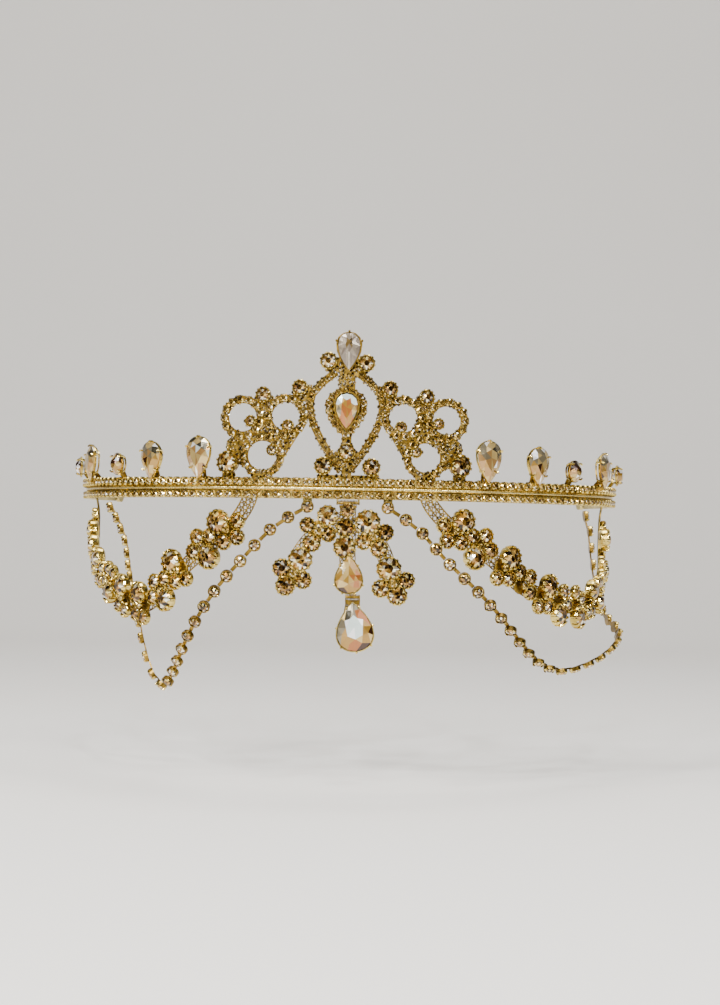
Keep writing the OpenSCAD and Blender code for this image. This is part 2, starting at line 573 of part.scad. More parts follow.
TUBE_HALF = 2.3;
module pendant_frame() color(gold) difference() {
    union() {
        upright_plate(PENDANT_FACE, PENDANT_FACE + ribbon_t) {
            polygon([[-2.2, -1.7], [2.2, -1.7], [2.2, -16], [2.6, -23.8], [-1.6, -23.8], [-2.2, -16]]);
            crest_line(ARM_L, ribbon_w);
            crest_line(ARM_R, ribbon_w);
        }
        along_x(-TUBE_HALF, TUBE_HALF, PENDANT_AXIS) circle(r = TUBE_R, $fn = smooth);
        translate([-TUBE_HALF, PENDANT_AXIS[0] - 0.2, -2.2])
            cube([2 * TUBE_HALF, PENDANT_FACE + ribbon_t - PENDANT_AXIS[0] + 0.2, 0.6]);
        upright_plate(TOP_STONE_Y + round_cup_depth(TOP_STONE.z) - 0.1, PENDANT_FACE + 0.1)
            translate([-1, -3.6]) square([2, 1.4]);
        for (s = PENDANT_SETTINGS) place(s[0], s[1], [0, 0, 1]) round_cup(s[2]);
        place([UPPER_DROP.x, UPPER_DROP_Y, UPPER_DROP.y], [0, -1, 0], [0, 0, 1])
            tear_cup(drop_w, UPPER_DROP_H, UPPER_PRONGS, UPPER_STAND);
        along_x(DROP_HINGE_X - 1.1, DROP_HINGE_X + 1.1, DROP_AXIS) circle(r = TUBE_R, $fn = smooth);
        translate([DROP_HINGE_X - 0.9, DROP_AXIS[0] - 0.3, DROP_AXIS[1] + 0.3]) cube([1.7, 0.8, 0.55]);
    }
    along_x(-TUBE_HALF - 1, TUBE_HALF + 1, PENDANT_AXIS) circle(r = BORE_R, $fn = smooth);
    along_x(DROP_HINGE_X - 2, DROP_HINGE_X + 2, DROP_AXIS) circle(r = BORE_R, $fn = smooth);
}
module pendant_stones() color(champagne) round_stones(stones_of(PENDANT_SETTINGS));
module upper_drop_stone() color("#e3c9a0")
    place([UPPER_DROP.x, UPPER_DROP_Y, UPPER_DROP.y], [0, -1, 0], [0, 0, 1])
        tear_stone(drop_w, UPPER_DROP_H);

module at_lower_drop() place([LOWER_DROP.x, LOWER_DROP_Y, LOWER_DROP.y], [0, -1, 0], LOWER_UP) children();
DROP_EAR_IN = 1.3;
DROP_EAR_OUT = 1.9;
module lower_drop_setting() color(gold) {
    at_lower_drop() tear_cup(large_drop_w, large_drop_h, LOWER_PRONGS);
    along_x(DROP_HINGE_X - DROP_EAR_OUT, DROP_HINGE_X + DROP_EAR_OUT, DROP_AXIS)
        circle(d = hinge_bar_d, $fn = smooth);
    // Each ear holds the bar and runs down behind the stone into its cup
    for (x = [-DROP_EAR_OUT, DROP_EAR_IN]) translate([DROP_HINGE_X + x, DROP_AXIS[0], DROP_AXIS[1]]) {
        translate([0, -0.4, -1]) cube([DROP_EAR_OUT - DROP_EAR_IN, 0.8, 1.3]);
        translate([0, 0.15, -3.8]) cube([DROP_EAR_OUT - DROP_EAR_IN, 0.7, 3.2]);
    }
}
module lower_drop_stone() color("#e0b48a") at_lower_drop() tear_stone(large_drop_w, large_drop_h);

band();
crest_frame();
crest_top_stone();
crest_center_stone();
crest_round_stones();
side_stone(-1, 0);  // side_stone_l1
side_stone(-1, 1);  // side_stone_l2
side_stone(-1, 2);  // side_stone_l3
side_stone(-1, 3);  // side_stone_l4
side_stone(-1, 4);  // side_stone_l5
side_stone(1, 0);  // side_stone_r1
side_stone(1, 1);  // side_stone_r2
side_stone(1, 2);  // side_stone_r3
side_stone(1, 3);  // side_stone_r4
side_stone(1, 4);  // side_stone_r5
garland_frame(-1);  // garland_frame_l
garland_frame(1);  // garland_frame_r
garland_stone_field(-1);  // garland_stones_l
garland_stone_field(1);  // garland_stones_r
chain_links(-1);  // chain_links_l
chain_links(1);  // chain_links_r
chain_stone_field(-1);  // chain_stones_l
chain_stone_field(1);  // chain_stones_r
pendant_frame();
pendant_stones();
upper_drop_stone();
lower_drop_setting();
lower_drop_stone();
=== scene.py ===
# %% [markdown]
# # An engagement tiara
# The tiara is a stone-set band with a pierced crest, ten upright stones, two garlands of
# clustered settings, two long cup chains and a hinged centre pendant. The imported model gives
# every solid piece at its real size. This lesson gives those pieces their looks: it sets finely
# cut stones where the plain ones are, and adds claws, wire ribbons and rows of small stones.

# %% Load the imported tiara
import math
import bmesh
import bpy
import numpy as np
from mathutils import Matrix, Vector


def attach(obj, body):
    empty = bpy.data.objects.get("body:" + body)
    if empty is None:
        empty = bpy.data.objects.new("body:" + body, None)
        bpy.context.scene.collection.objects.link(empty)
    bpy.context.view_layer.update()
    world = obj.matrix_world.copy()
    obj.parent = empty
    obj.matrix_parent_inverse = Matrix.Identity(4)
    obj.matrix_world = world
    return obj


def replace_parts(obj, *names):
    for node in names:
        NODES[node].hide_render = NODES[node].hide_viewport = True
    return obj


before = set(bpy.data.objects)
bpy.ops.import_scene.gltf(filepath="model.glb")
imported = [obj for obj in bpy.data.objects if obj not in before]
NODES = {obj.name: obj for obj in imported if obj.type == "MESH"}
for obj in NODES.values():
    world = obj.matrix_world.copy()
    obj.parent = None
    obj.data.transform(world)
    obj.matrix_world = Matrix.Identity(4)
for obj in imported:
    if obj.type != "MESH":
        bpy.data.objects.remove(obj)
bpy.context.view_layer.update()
MM = 0.001
UP, FRONT = Vector((0, 0, 1)), Vector((0, -1, 0))
TIARA, PENDANT, LOWER_DROP = "tiara", "pendant", "lower_drop"

# %% [markdown]
# ## The camera
# The photograph looks straight at the front of the tiara from about two thirds of a metre,
# a little below the band, with the picture turned by one degree. A long lens keeps the far
# ends of the band from shrinking too much.

# %% Set up the camera
camera_data = bpy.data.cameras.new("camera")
camera_data.lens = 82.66
camera_data.sensor_width = 36
camera_data.clip_start = 0.01
camera = bpy.data.objects.new("camera", camera_data)
bpy.context.scene.collection.objects.link(camera)
camera.matrix_world = (Matrix.Translation((0.0031, -0.677, -0.010))
                       @ Matrix.Rotation(math.radians(90.88), 4, "X")
                       @ Matrix.Rotation(math.radians(1.0), 4, "Z"))
bpy.context.scene.camera = camera
print("camera at", tuple(round(v, 3) for v in camera.location))

# %% [markdown]
# ## Making a piece
# Every new piece is a plain mesh whose object stays at the origin, so that a pattern on Object
# coordinates sits still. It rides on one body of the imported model.

# %% Helpers for pieces
def linked(name, data):
    """An object for a mesh or a lamp, in the scene."""
    obj = bpy.data.objects.new(name, data)
    bpy.context.scene.collection.objects.link(obj)
    return obj


def mesh_of(name, points, faces, outwards=True):
    """A mesh from points and faces, with its faces turned outwards."""
    mesh = bpy.data.meshes.new(name)
    mesh.from_pydata([tuple(p) for p in points], [], faces)
    if outwards:
        shape = bmesh.new()
        shape.from_mesh(mesh)
        bmesh.ops.recalc_face_normals(shape, faces=shape.faces[:])
        shape.to_mesh(mesh)
        shape.free()
    mesh.update()
    return mesh


def joined(name, parts):
    """One mesh from several lists of points and faces."""
    points, faces = [], []
    for part_points, part_faces in parts:
        start = len(points)
        points += part_points
        faces += [tuple(start + i for i in face) for face in part_faces]
    return mesh_of(name, points, faces)


def finished(piece, body, material=None):
    """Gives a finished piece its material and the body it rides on."""
    if material is not None:
        piece.data.materials.clear()
        piece.data.materials.append(material)
    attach(piece, body)
    print(piece.name, len(piece.data.polygons), "faces on", body)
    return piece


def metal_piece(name, parts, body, material):
    """A finished piece of metal from lists of points and faces."""
    return finished(linked(name, joined(name, parts)), body, material)


def linear(code):
    """A colour as the shader wants it, from a six-figure code."""
    parts = [int(code[i:i + 2], 16) / 255 for i in (0, 2, 4)]
    return tuple(p / 12.92 if p < 0.04045 else ((p + 0.055) / 1.055) ** 2.4 for p in parts) + (1,)


print("helpers ready")

# %% [markdown]
# ## Worn plating
# All the metal is thinly gold plated. Plating is brightest where it is rubbed and deeper in
# tone where hands don't reach. A shader group mixes the two colours by a soft noise and gives
# the roughness and the height of fine scratches and pits, and each metal uses it with its own
# values.

# %% Build the plating group
def feed(tree, node, inputs):
    """Fills inputs of a node, each with a value or with the output that leads to it."""
    for label, value in inputs.items():
        if isinstance(value, bpy.types.NodeSocket):
            tree.links.new(value, node.inputs[label])
        else:
            node.inputs[label].default_value = value


def add_node(tree, kind, inputs=None, **settings):
    """A new node with its settings made and its inputs filled."""
    node = tree.nodes.new(kind)
    for setting, value in settings.items():
        setattr(node, setting, value)
    feed(tree, node, inputs or {})
    return node


def empty_tree(name, kind, inputs, outputs):
    """A node tree with named sockets, what comes in and the node at its end."""
    tree = bpy.data.node_groups.new(name, kind)
    for direction, sockets in (("OUTPUT", outputs), ("INPUT", inputs)):
        for label, socket_kind in sockets:
            tree.interface.new_socket(label, in_out=direction, socket_type="NodeSocket" + socket_kind)
    return tree, tree.nodes.new("NodeGroupInput").outputs, tree.nodes.new("NodeGroupOutput")


def place_on(tree):
    """Where a point lies on its piece."""
    return tree.nodes.new("ShaderNodeTexCoord").outputs["Object"]


def maths(tree, operation, *operands):
    """The result of a math node; each operand is a number or an output."""
    return add_node(tree, "ShaderNodeMath", dict(enumerate(operands)), operation=operation).outputs[0]


def noise(tree, coordinates, scale, detail=3.0):
    """A noise texture on the given coordinates."""
    inputs = {"Vector": coordinates, "Scale": scale, "Detail": detail, "Roughness": 0.55}
    return add_node(tree, "ShaderNodeTexNoise", inputs).outputs["Fac"]


def stretched(tree, value, low, high, to_low=0.0, to_high=1.0):
    """Maps a value from one range to another, and stops at its ends."""
    inputs = {"Value": value, "From Min": low, "From Max": high, "To Min": to_low, "To Max": to_high}
    return add_node(tree, "ShaderNodeMapRange", inputs).outputs["Result"]


def mixed_colour(tree, factor, first, second):
    """A mix of two colours."""
    inputs = {"Factor": factor, "A": first, "B": second}
    return add_node(tree, "ShaderNodeMix", inputs, data_type="RGBA").outputs["Result"]


plating, worn, plating_end = empty_tree(
    "worn plating", "ShaderNodeTree",
    [("Bright", "Color"), ("Deep", "Color"), ("Patch Scale", "Float"), ("Grain Scale", "Float"),
     ("Smoothest", "Float"), ("Roughest", "Float")],
    [("Color", "Color"), ("Roughness", "Float"), ("Height", "Float")])
plate_at = place_on(plating)
patches = stretched(plating, noise(plating, plate_at, worn["Patch Scale"]), 0.35, 0.68)
grain = noise(plating, plate_at, worn["Grain Scale"], 2.0)
feed(plating, plating_end, {
    "Color": mixed_colour(plating, patches, worn["Bright"], worn["Deep"]),
    "Roughness": stretched(plating, grain, 0.3, 0.7, worn["Smoothest"], worn["Roughest"]),
    "Height": grain})
print("plating group:", len(plating.nodes), "nodes")

# %% [markdown]
# ## Gold finishes
# The band, cups and claws are smooth. The pierced crest is cast and has a grainy surface under
# its stones; its dark colour is painted shade for the gaps between the stones. The ribbons are
# drawn wire, and the chains' flat bars are duller. All of them share the plating group. Outside
# its own height, on the ears of the hinge below it, the band gets painted shade: a darker colour.

# %% Mix the gold finishes
def new_material(name):
    """A material, its node tree and its shader."""
    material = bpy.data.materials.new(name)
    material.use_nodes = True
    return material, material.node_tree, material.node_tree.nodes["Principled BSDF"]


def gold_finish(name, bright, deep, patch, grain_scale, smoothest, roughest, depth, painted_shade=None):
    """A plated metal; depth is how deep its grain is. The last argument, if given, is (middle, reach, colour)
    in metres: painted shade in that colour where the height is more than reach from middle.
    """
    material, tree, shader = new_material(name)
    plate = add_node(tree, "ShaderNodeGroup", {
        "Bright": linear(bright), "Deep": linear(deep), "Patch Scale": patch, "Grain Scale": grain_scale,
        "Smoothest": smoothest, "Roughest": roughest}, node_tree=plating).outputs
    colour = plate["Color"]
    # Painted shade: farther than reach from the middle height, the colour turns to a darker one.
    if painted_shade:
        middle, reach, shade_colour = painted_shade
        height = add_node(tree, "ShaderNodeSeparateXYZ", {0: place_on(tree)}).outputs["Z"]
        away = maths(tree, "ABSOLUTE", maths(tree, "SUBTRACT", height, middle))
        colour = mixed_colour(tree, stretched(tree, away, reach, reach + 0.6 * MM), colour, linear(shade_colour))
    bump = add_node(tree, "ShaderNodeBump", {"Distance": depth, "Strength": 0.6, "Height": plate["Height"]})
    feed(tree, shader, {"Metallic": 1.0, "Base Color": colour, "Roughness": plate["Roughness"],
                        "Normal": bump.outputs["Normal"]})
    return material


smooth_gold = gold_finish("smooth gold", "efd780", "a08636", 150, 2600, 0.10, 0.24, 0.00002)
# The band's ears below it get painted shade in a darker gold.
band_gold = gold_finish("band gold", "e4d08a", "bea866", 150, 2600, 0.20, 0.36, 0.00002,
                        (0.0027, 0.0029, "8c7440"))
bar_gold = gold_finish("bar gold", "9c7e3a", "544216", 400, 1800, 0.24, 0.4, 0.00003)
# Painted shade: this gold is made dark to stand for shade between the crest's grains, behind the clusters, in
# the hinges and under the uprights; its grain and roughness are the cast finish.
shaded_cast_gold = gold_finish("shaded cast gold", "9a7c32", "4a3810", 900, 1400, 0.30, 0.50, 0.00012)
wire_gold = gold_finish("wire gold", "b09448", "4a3a12", 600, 3000, 0.28, 0.45, 0.00002)
print("gold finishes:", smooth_gold.name, shaded_cast_gold.name, wire_gold.name)

# %% [markdown]
# ## Foiled stones
# These are glass stones with a metal foil behind them. Light comes back from each facet in its
# own tone: dark brown, gold, peach, cream or white. Real glass would need very long renders to
# show that, so the reflections are painted: each facet carries a number, its tone, and a stepped
# colour ramp gives the facet its painted reflection as colour, with white facets as painted
# glints, under a hard clear coat.

# %% Mix the stone finishes
def ramp(tree, factor, stops, interpolation="LINEAR"):
    """The colours (position, code) along a value."""
    node = add_node(tree, "ShaderNodeValToRGB", {"Fac": factor})
    node.color_ramp.interpolation = interpolation
    elements = node.color_ramp.elements
    elements.remove(elements[-1])
    for index, (position, code) in enumerate(stops):
        stop = elements.new(position) if index else elements[0]
        stop.position = position
        stop.color = linear(code)
    return node.outputs["Color"]


def stone_finish(name, palette, metallic, roughness=0.09, coat=1.0):
    """A foiled stone with painted reflections; palette is a list of shares of its facets and their colours.
    """
    material, tree, shader = new_material(name)
    total, reached, stops = sum(share for share, colour in palette), 0.0, []
    for share, colour in palette:
        stops.append((reached, colour))
        reached += share / total
    tone = add_node(tree, "ShaderNodeAttribute", attribute_name="tone").outputs["Fac"]
    cloud = noise(tree, place_on(tree), 900.0)
    feed(tree, shader, {
        "Metallic": metallic, "Coat Weight": coat, "Coat Roughness": 0.02,
        "Base Color": ramp(tree, tone, stops, "CONSTANT"),
        "Roughness": stretched(tree, cloud, 0.35, 0.65, roughness, roughness + 0.12)})
    return material


# Each palette gives painted reflections: dark to bright facets, the whitest ones painted glints.
GOLD_TONES = [(22, "160c02"), (20, "4e3410"), (20, "98702c"), (14, "caa050"), (6, "bc8848"),
              (13, "f4de90"), (5, "fff9e4")]
GRAIN_TONES = [(34, "0e0802"), (20, "46340e"), (16, "987828"), (16, "dcbc60"), (10, "fae8a0"), (4, "ffffff")]
ROW_TONES = [(16, "2a1c06"), (24, "72561e"), (28, "b08c3c"), (22, "dcbc68"), (8, "f4e2a4"), (2, "ffffff")]
BRIGHT_TONES = [(12, "3a2408"), (18, "805c22"), (28, "bc9640"), (27, "e8cc80"), (11, "fbeebc"), (4, "ffffff")]
STEPS = {"brown": "3a2010", "orange": "a5622e", "gold": "a07a30", "peach": "a8804a", "dark": "3e3a2c",
         "grey": "7e745c", "cream": "c4a868", "pale": "dcebe6", "white": "ffffff"}
DROP_TONES = [(1, colour) for colour in STEPS.values()]
MILKY = {"brown": "3e3014", "gold": "5e4a22", "grey": "6c6054", "cream": "7e7262", "pale": "a89e8c"}
OPAL_TONES = [(1, MILKY.get(label, colour)) for label, colour in STEPS.items()]
champagne_glass = stone_finish("champagne stones", GOLD_TONES, 0.8)
grain_glass = stone_finish("champagne grains", GRAIN_TONES, 0.85)
row_glass = stone_finish("row stones", ROW_TONES, 0.85, coat=0.4)
bright_glass = stone_finish("bright row stones", BRIGHT_TONES, 0.85, coat=0.4)
upright_glass = stone_finish("upright stones", DROP_TONES, 0.6)
drop_glass = stone_finish("drop stones", DROP_TONES, 0.45)
peach_glass = stone_finish("peach stone", DROP_TONES, 0.4)
opal_glass = stone_finish("opal stone", OPAL_TONES, 0.3, 0.16, 0.6)
print("stone finishes ready")

# %% [markdown]
# ## Where the stones are
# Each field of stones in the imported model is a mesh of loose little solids. A stone is flatter
# than it is wide, so the direction in which its points spread least is the way it faces, and
# its point lies deeper than its table stands out. That gives every place without a list.

# %% Read the places of the stones
WELD = 2e-6  # points this close are one, in metres
LONG_FROM = 1.15  # a stone that spreads this much more one way has a length
END_SHARE = 0.15  # the share of its length that counts as an end


def loose_parts(node):
    """The separate solids of a node, each as an array of its points."""
    mesh = NODES[node].data
    points = np.array([v.co for v in mesh.vertices], dtype=float)
    keys = [tuple(k) for k in np.round(points / WELD).astype(int)]
    first = {}
    for index, key in enumerate(keys):
        first.setdefault(key, index)
    root = {index: index for index in first.values()}

    def find(i):
        while root[i] != i:
            root[i] = root[root[i]]
            i = root[i]
        return i

    for polygon in mesh.polygons:
        corners = [first[keys[i]] for i in polygon.vertices]
        for corner in corners[1:]:
            root[find(corner)] = find(corners[0])
    groups = {}
    for index in root:
        groups.setdefault(find(index), []).append(points[index])
    return [np.array(group) for group in groups.values()]


def stone_place(points):
    """Middle of the girdle, facing, long direction, width and height of one stone."""
    middle = (points.max(axis=0) + points.min(axis=0)) / 2
    centred = points - points.mean(axis=0)
    spread, axes = np.linalg.eigh(np.cov(centred.T))
    facing, up = axes[:, 0], axes[:, 2]
    depth = centred @ facing
    if depth.max() > -depth.min():
        facing = -facing
    is_long = spread[2] >= LONG_FROM * spread[1]
    if not is_long:
        up = np.array([0, 0, 1.0]) if abs(facing[2]) < 0.9 else np.array([0, 1.0, 0])
        up = up - (up @ facing) * facing
        up /= np.linalg.norm(up)
    across = np.cross(up, facing)
    x, y, z = np.array([across, up, facing]) @ (points - middle).T
    end = END_SHARE * np.ptp(y)
    if is_long and np.ptp(x[y < y.min() + end]) < np.ptp(x[y > y.max() - end]):
        across, up, x, y = -across, -up, -x, -y
    wide, tall = (x.max() + x.min()) / 2, (y.max() + y.min()) / 2
    rim = np.abs(x - wide)
    level = z[rim > 0.97 * rim.max()].mean()
    centre = middle + wide * across + tall * up + level * facing
    return Vector(centre), Vector(facing), Vector(up), float(np.ptp(x)), float(np.ptp(y))


def stones_of(node):
    """Every stone of a node, in a steady order."""
    found = [stone_place(part) for part in loose_parts(node)]
    return sorted(found, key=lambda s: (round(s[0].x, 5), round(s[0].z, 5)))


PLACES = {node: stones_of(node) for node in NODES if "stone" in node}
print({node: len(places) for node, places in PLACES.items()})

# %% [markdown]
# ## Cut stones
# A brilliant has a flat table, a crown of three kinds of facets and a pointed back. The table
# is made as a fan of triangles, because through a real table the facets of the back show as
# light and dark wedges. The same rule with another outline makes the teardrops.

# %% Cut the stones
def round_outline(u):
    return Vector((math.cos(math.tau * u), math.sin(math.tau * u), 0)) / 2


def tear_outline(u):
    """Outline one unit wide and high, its tip at +Y, in the shape of the solid teardrops."""
    t = math.tau * u
    return Vector((-math.sin(t) / 2 * abs(math.sin(t / 2)) ** 0.9 / 0.786, math.cos(t) / 2, 0))


def cut_stone(name, outline, n, crown, depth, table=0.58, belly=0.0, star=0.8):
    """A brilliant with n sides, of unit size; crown and depth are its heights over and under the girdle.

    Every facet carries its usual painted reflection as a tone in the attribute cut: 0 is dark and 1 is
    bright."""
    heart, girdle = Vector((0, belly, 0)), 0.02

    def ring(count, shift, scale, z):
        return [heart + scale * (outline((k + shift) / count) - heart) + z * UP for k in range(count)]

    inner = 1
    stars = inner + n
    upper = stars + n
    lower = upper + 2 * n
    culet = lower + 2 * n
    points = ([heart + crown * UP] + ring(n, 0, table, crown) + ring(n, 0.5, star, crown * 0.55)
              + ring(2 * n, 0, 1, girdle) + ring(2 * n, 0, 1, -girdle) + [heart - depth * UP])
    facets = []
    for k in range(n):
        after, before, odd = (k + 1) % n, (k - 1) % n, k % 2
        facets += [((0, inner + k, inner + after), 0.18 if odd else 0.45),
                   ((inner + k, stars + k, inner + after), 0.78 if odd else 0.5),
                   ((inner + k, stars + before, upper + 2 * k, stars + k), 0.34 if odd else 0.86),
                   ((stars + k, upper + 2 * k, upper + 2 * k + 1), 0.25),
                   ((stars + k, upper + 2 * k + 1, upper + 2 * after), 0.8)]
    for k in range(2 * n):
        after = (k + 1) % (2 * n)
        facets += [((upper + k, lower + k, lower + after, upper + after), 0.4),
                   ((lower + k, culet, lower + after), 0.3)]
    mesh = mesh_of(name, points, [face for face, tone in facets])
    mesh.attributes.new("cut", "FLOAT", "FACE").data.foreach_set("value", [tone for face, tone in facets])
    return mesh


round_cut = cut_stone("round cut", round_outline, 8, 0.23, 0.27, table=0.44, star=0.7)
small_cut = cut_stone("small cut", round_outline, 6, 0.2, 0.2, table=0.6)
tear_cut = cut_stone("teardrop cut", tear_outline, 8, 0.16, 0.18, table=0.52, belly=-0.1, star=0.76)
drop_cut = cut_stone("drop cut", tear_outline, 8, 0.16, 0.18, table=0.5, star=0.74)
opal_cut = cut_stone("opal cut", tear_outline, 10, 0.16, 0.18, table=0.34, belly=-0.2, star=0.62)
print("facets: round", len(round_cut.polygons), "teardrop", len(tear_cut.polygons))

# %% [markdown]
# ## Setting things on seats
# Stones, cups and claws all repeat on many seats. A Geometry Nodes tree puts a copy of one
# shape on each point of a mesh. Every point carries the way its seat faces, its upward
# direction and its size, and every facet of the result gets a tone for the colour ramp.

# %% Build the tree that fills seats
def geometry_tree(name, inputs):
    """A tree for a modifier: a geometry and named values go in, and a geometry comes out."""
    geometry = [("Geometry", "Geometry")]
    tree, values, end = empty_tree(name, "GeometryNodeTree", geometry + inputs, geometry)
    tree.is_modifier = True
    return tree, values, end


def carried(tree, name, kind="FLOAT_VECTOR"):
    """The output that reads a named attribute."""
    node = add_node(tree, "GeometryNodeInputNamedAttribute", {"Name": name}, data_type=kind)
    return node.outputs["Attribute"]


def chance(tree, seed, low, high):
    """A random number for each element."""
    index = tree.nodes.new("GeometryNodeInputIndex").outputs["Index"]
    inputs = {2: low, 3: high, "ID": index, "Seed": seed}
    return add_node(tree, "FunctionNodeRandomValue", inputs).outputs[1]


def stored(tree, geometry, name, domain, value):
    """Keeps a number as a named attribute and gives the geometry on."""
    inputs = {"Geometry": geometry, "Name": name, "Value": value}
    store = add_node(tree, "GeometryNodeStoreNamedAttribute", inputs, data_type="FLOAT", domain=domain)
    return store.outputs["Geometry"]


def ended(tree, values, end, geometry):
    """Ends a tree: real geometry, a tone on every face and a material.

    The tone is the facet's usual painted reflection, moved a little by chance for the stone and the facet."""
    real = add_node(tree, "GeometryNodeRealizeInstances", {"Geometry": geometry}).outputs["Geometry"]
    tone = maths(tree, "ADD", carried(tree, "cut", "FLOAT"), carried(tree, "mood", "FLOAT"))
    tone = maths(tree, "ADD", tone, chance(tree, values["Seed"], -0.3, 0.3))
    toned = stored(tree, real, "tone", "FACE", maths(tree, "MAXIMUM", tone, 0.0))
    inputs = {"Geometry": toned, "Material": values["Material"]}
    feed(tree, end, {"Geometry": add_node(tree, "GeometryNodeSetMaterial", inputs).outputs["Geometry"]})
    print("tree:", tree.name, len(tree.nodes), "nodes")


def shape_of(tree, value):
    """The shape of an object that goes into a tree."""
    return add_node(tree, "GeometryNodeObjectInfo", {"Object": value}).outputs["Geometry"]


seat_tree, seat_values, seat_end = geometry_tree(
    "fill seats", [("Shape", "Object"), ("Material", "Material"), ("Seed", "Int")])
turn = add_node(seat_tree, "FunctionNodeAxesToRotation", {
    "Primary Axis": carried(seat_tree, "facing"), "Secondary Axis": carried(seat_tree, "up")},
    primary_axis="Z", secondary_axis="Y")
mood = chance(seat_tree, seat_values["Seed"], -0.16, 0.16)
copies = add_node(seat_tree, "GeometryNodeInstanceOnPoints", {
    "Points": stored(seat_tree, seat_values["Geometry"], "mood", "POINT", mood),
    "Instance": shape_of(seat_tree, seat_values["Shape"]),
    "Rotation": turn.outputs["Rotation"], "Scale": carried(seat_tree, "size")})
ended(seat_tree, seat_values, seat_end, copies.outputs["Instances"])

# %% Run a tree and keep its result
def grown(name, mesh, tree, **values):
    """A plain object from a tree run on a mesh; the modifier goes once its result is kept."""
    base = linked(name + " base", mesh)
    modifier = base.modifiers.new(tree.name, "NODES")
    modifier.node_group = tree
    for socket in tree.interface.items_tree:
        label = socket.name.replace(" ", "_").lower()
        if socket.in_out == "INPUT" and label in values:
            modifier[socket.identifier] = values[label]
    graph = bpy.context.evaluated_depsgraph_get()
    result = bpy.data.meshes.new_from_object(base.evaluated_get(graph), preserve_all_data_layers=True,
                                             depsgraph=graph)
    bpy.data.objects.remove(base)
    return linked(name, result)


def seats(places):
    """A mesh with a point for each place: (centre, facing, up, size), with one size or three."""
    mesh = bpy.data.meshes.new("seats")
    mesh.from_pydata([tuple(p[0]) for p in places], [], [])
    places = [(*p[:3], p[3] if isinstance(p[3], tuple) else (p[3],) * 3) for p in places]
    for column, label in ((1, "facing"), (2, "up"), (3, "size")):
        values = mesh.attributes.new(label, "FLOAT_VECTOR", "POINT")
        values.data.foreach_set("vector", [c for p in places for c in p[column]])
    return mesh


def filled(name, places, shape, material, seed, body):
    """Copies of a shape on every seat, as one finished piece."""
    pattern = linked("pattern", shape)
    piece = grown(name, seats(places), seat_tree, shape=pattern, material=material, seed=seed)
    bpy.data.objects.remove(pattern)
    return finished(piece, body)


print("seats can be filled")

# %% [markdown]
# ## Stones in their settings
# The detailed stones take the places of the plain ones and hide them. A small gap stays round
# each stone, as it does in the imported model.

# %% Set the round stones
BELOW_BAND = -5  # a height in millimetres
EASED_STONE, EASED_SETTING = 1.16, 1.09


def eased(node, centre):
    """Whether a setting is drawn larger than its solid: not the top ones, which swing by the band."""
    return node.startswith(("garland", "pendant")) and centre.z < BELOW_BAND * MM


for node, body, seed in (("crest_round_stones", TIARA, 3), ("garland_stones_l", TIARA, 4),
                         ("garland_stones_r", TIARA, 5), ("chain_stones_l", TIARA, 6),
                         ("chain_stones_r", TIARA, 7), ("pendant_stones", PENDANT, 8)):
    places = [(c, f, u, (EASED_STONE if eased(node, c) else 1.0) * w) for c, f, u, w, h in PLACES[node]]
    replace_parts(filled(node + "_cut", places, round_cut, champagne_glass, seed, body), node)

# %% [markdown]
# ## The teardrops and the upright stones
# A large stone shows each of its facets, so chance alone doesn't give its look. Its tones are
# painted reflections and highlights, chosen by where a facet lies, seen from the front: mirror-like
# greys where it meets the light and champagne, peach and brown elsewhere. Chance only varies them.

# %% Choose the tones of the large stones
def top_tones(x, y):
    """The opal stone at the crest's point: grey all over, with a dull yellow table."""
    if math.hypot(x / 0.34, (y - 0.42) / 0.24) < 1:
        return dict(gold=0.6, brown=0.4)
    if y < -0.1 and abs(x) < 0.12:
        return dict(pale=1)
    return dict(grey=0.5, cream=0.5)


def middle_tones(x, y):
    """The peach stone of the crest: a painted highlight as a pale crescent at the top, and an orange heart.
    """
    if y > 0.72 - 0.3 * abs(x):
        return dict(pale=0.9, white=0.1)
    if y < -0.4:
        return dict(gold=0.45, orange=0.45, grey=0.1)
    if abs(x) < 0.45:
        return dict(orange=0.7, gold=0.3)
    return dict(grey=0.5, cream=0.3, peach=0.2)


def upright_tones(x, y):
    """The uprights: painted reflections, greys above and champagne below."""
    if y > 0.55:
        return dict(grey=0.4, dark=0.2, cream=0.3, white=0.1)
    if y > 0.05:
        return dict(grey=0.3, pale=0.1, cream=0.35, peach=0.25)
    return dict(peach=0.3, cream=0.35, gold=0.2, brown=0.1, white=0.05)


def round_tones(x, y):
    """The round uprights: painted reflections, brown above and gold and cream below."""
    if y > 0.1:
        return dict(brown=0.55, gold=0.25, dark=0.1, white=0.1)
    return dict(gold=0.4, cream=0.3, peach=0.2, white=0.1)


def upper_tones(x, y):
    """The pendant's upper drop: painted reflections, grey and tan at the left and gold at the right."""
    if y < -0.62:
        return dict(brown=0.2, grey=0.2, gold=0.6)
    if x < -0.2:
        return dict(grey=0.35, cream=0.3, gold=0.35)
    if x < 0.25:
        return dict(cream=0.3, gold=0.7)
    return dict(gold=0.6, peach=0.2, orange=0.2)


def lower_tones(x, y):
    """The pendant's lower drop, with a broad pale table, a painted reflection."""
    if math.hypot(x / 0.46, y / 0.46) < 1:
        return dict(white=0.3, pale=0.7)
    if y > 0.1 and x < 0.12:
        return dict(grey=0.75, dark=0.1, cream=0.15)
    if y > 0.1:
        return dict(orange=0.2, brown=0.25, gold=0.3, cream=0.25)
    if y < -0.6:
        return dict(brown=0.3, orange=0.4, gold=0.3)
    if x > 0:
        return dict(cream=0.5, gold=0.35, brown=0.15)
    return dict(gold=0.35, grey=0.35, peach=0.3)


print("tones chosen")

# %% Set the large stones
def picked(draw, shares):
    """The tone of the first colour whose running share passes the draw, or of the last colour."""
    reached = 0.0
    for label, share in shares.items():
        reached += share
        if draw < reached:
            break
    return (list(STEPS).index(label) + 0.5) / len(STEPS)


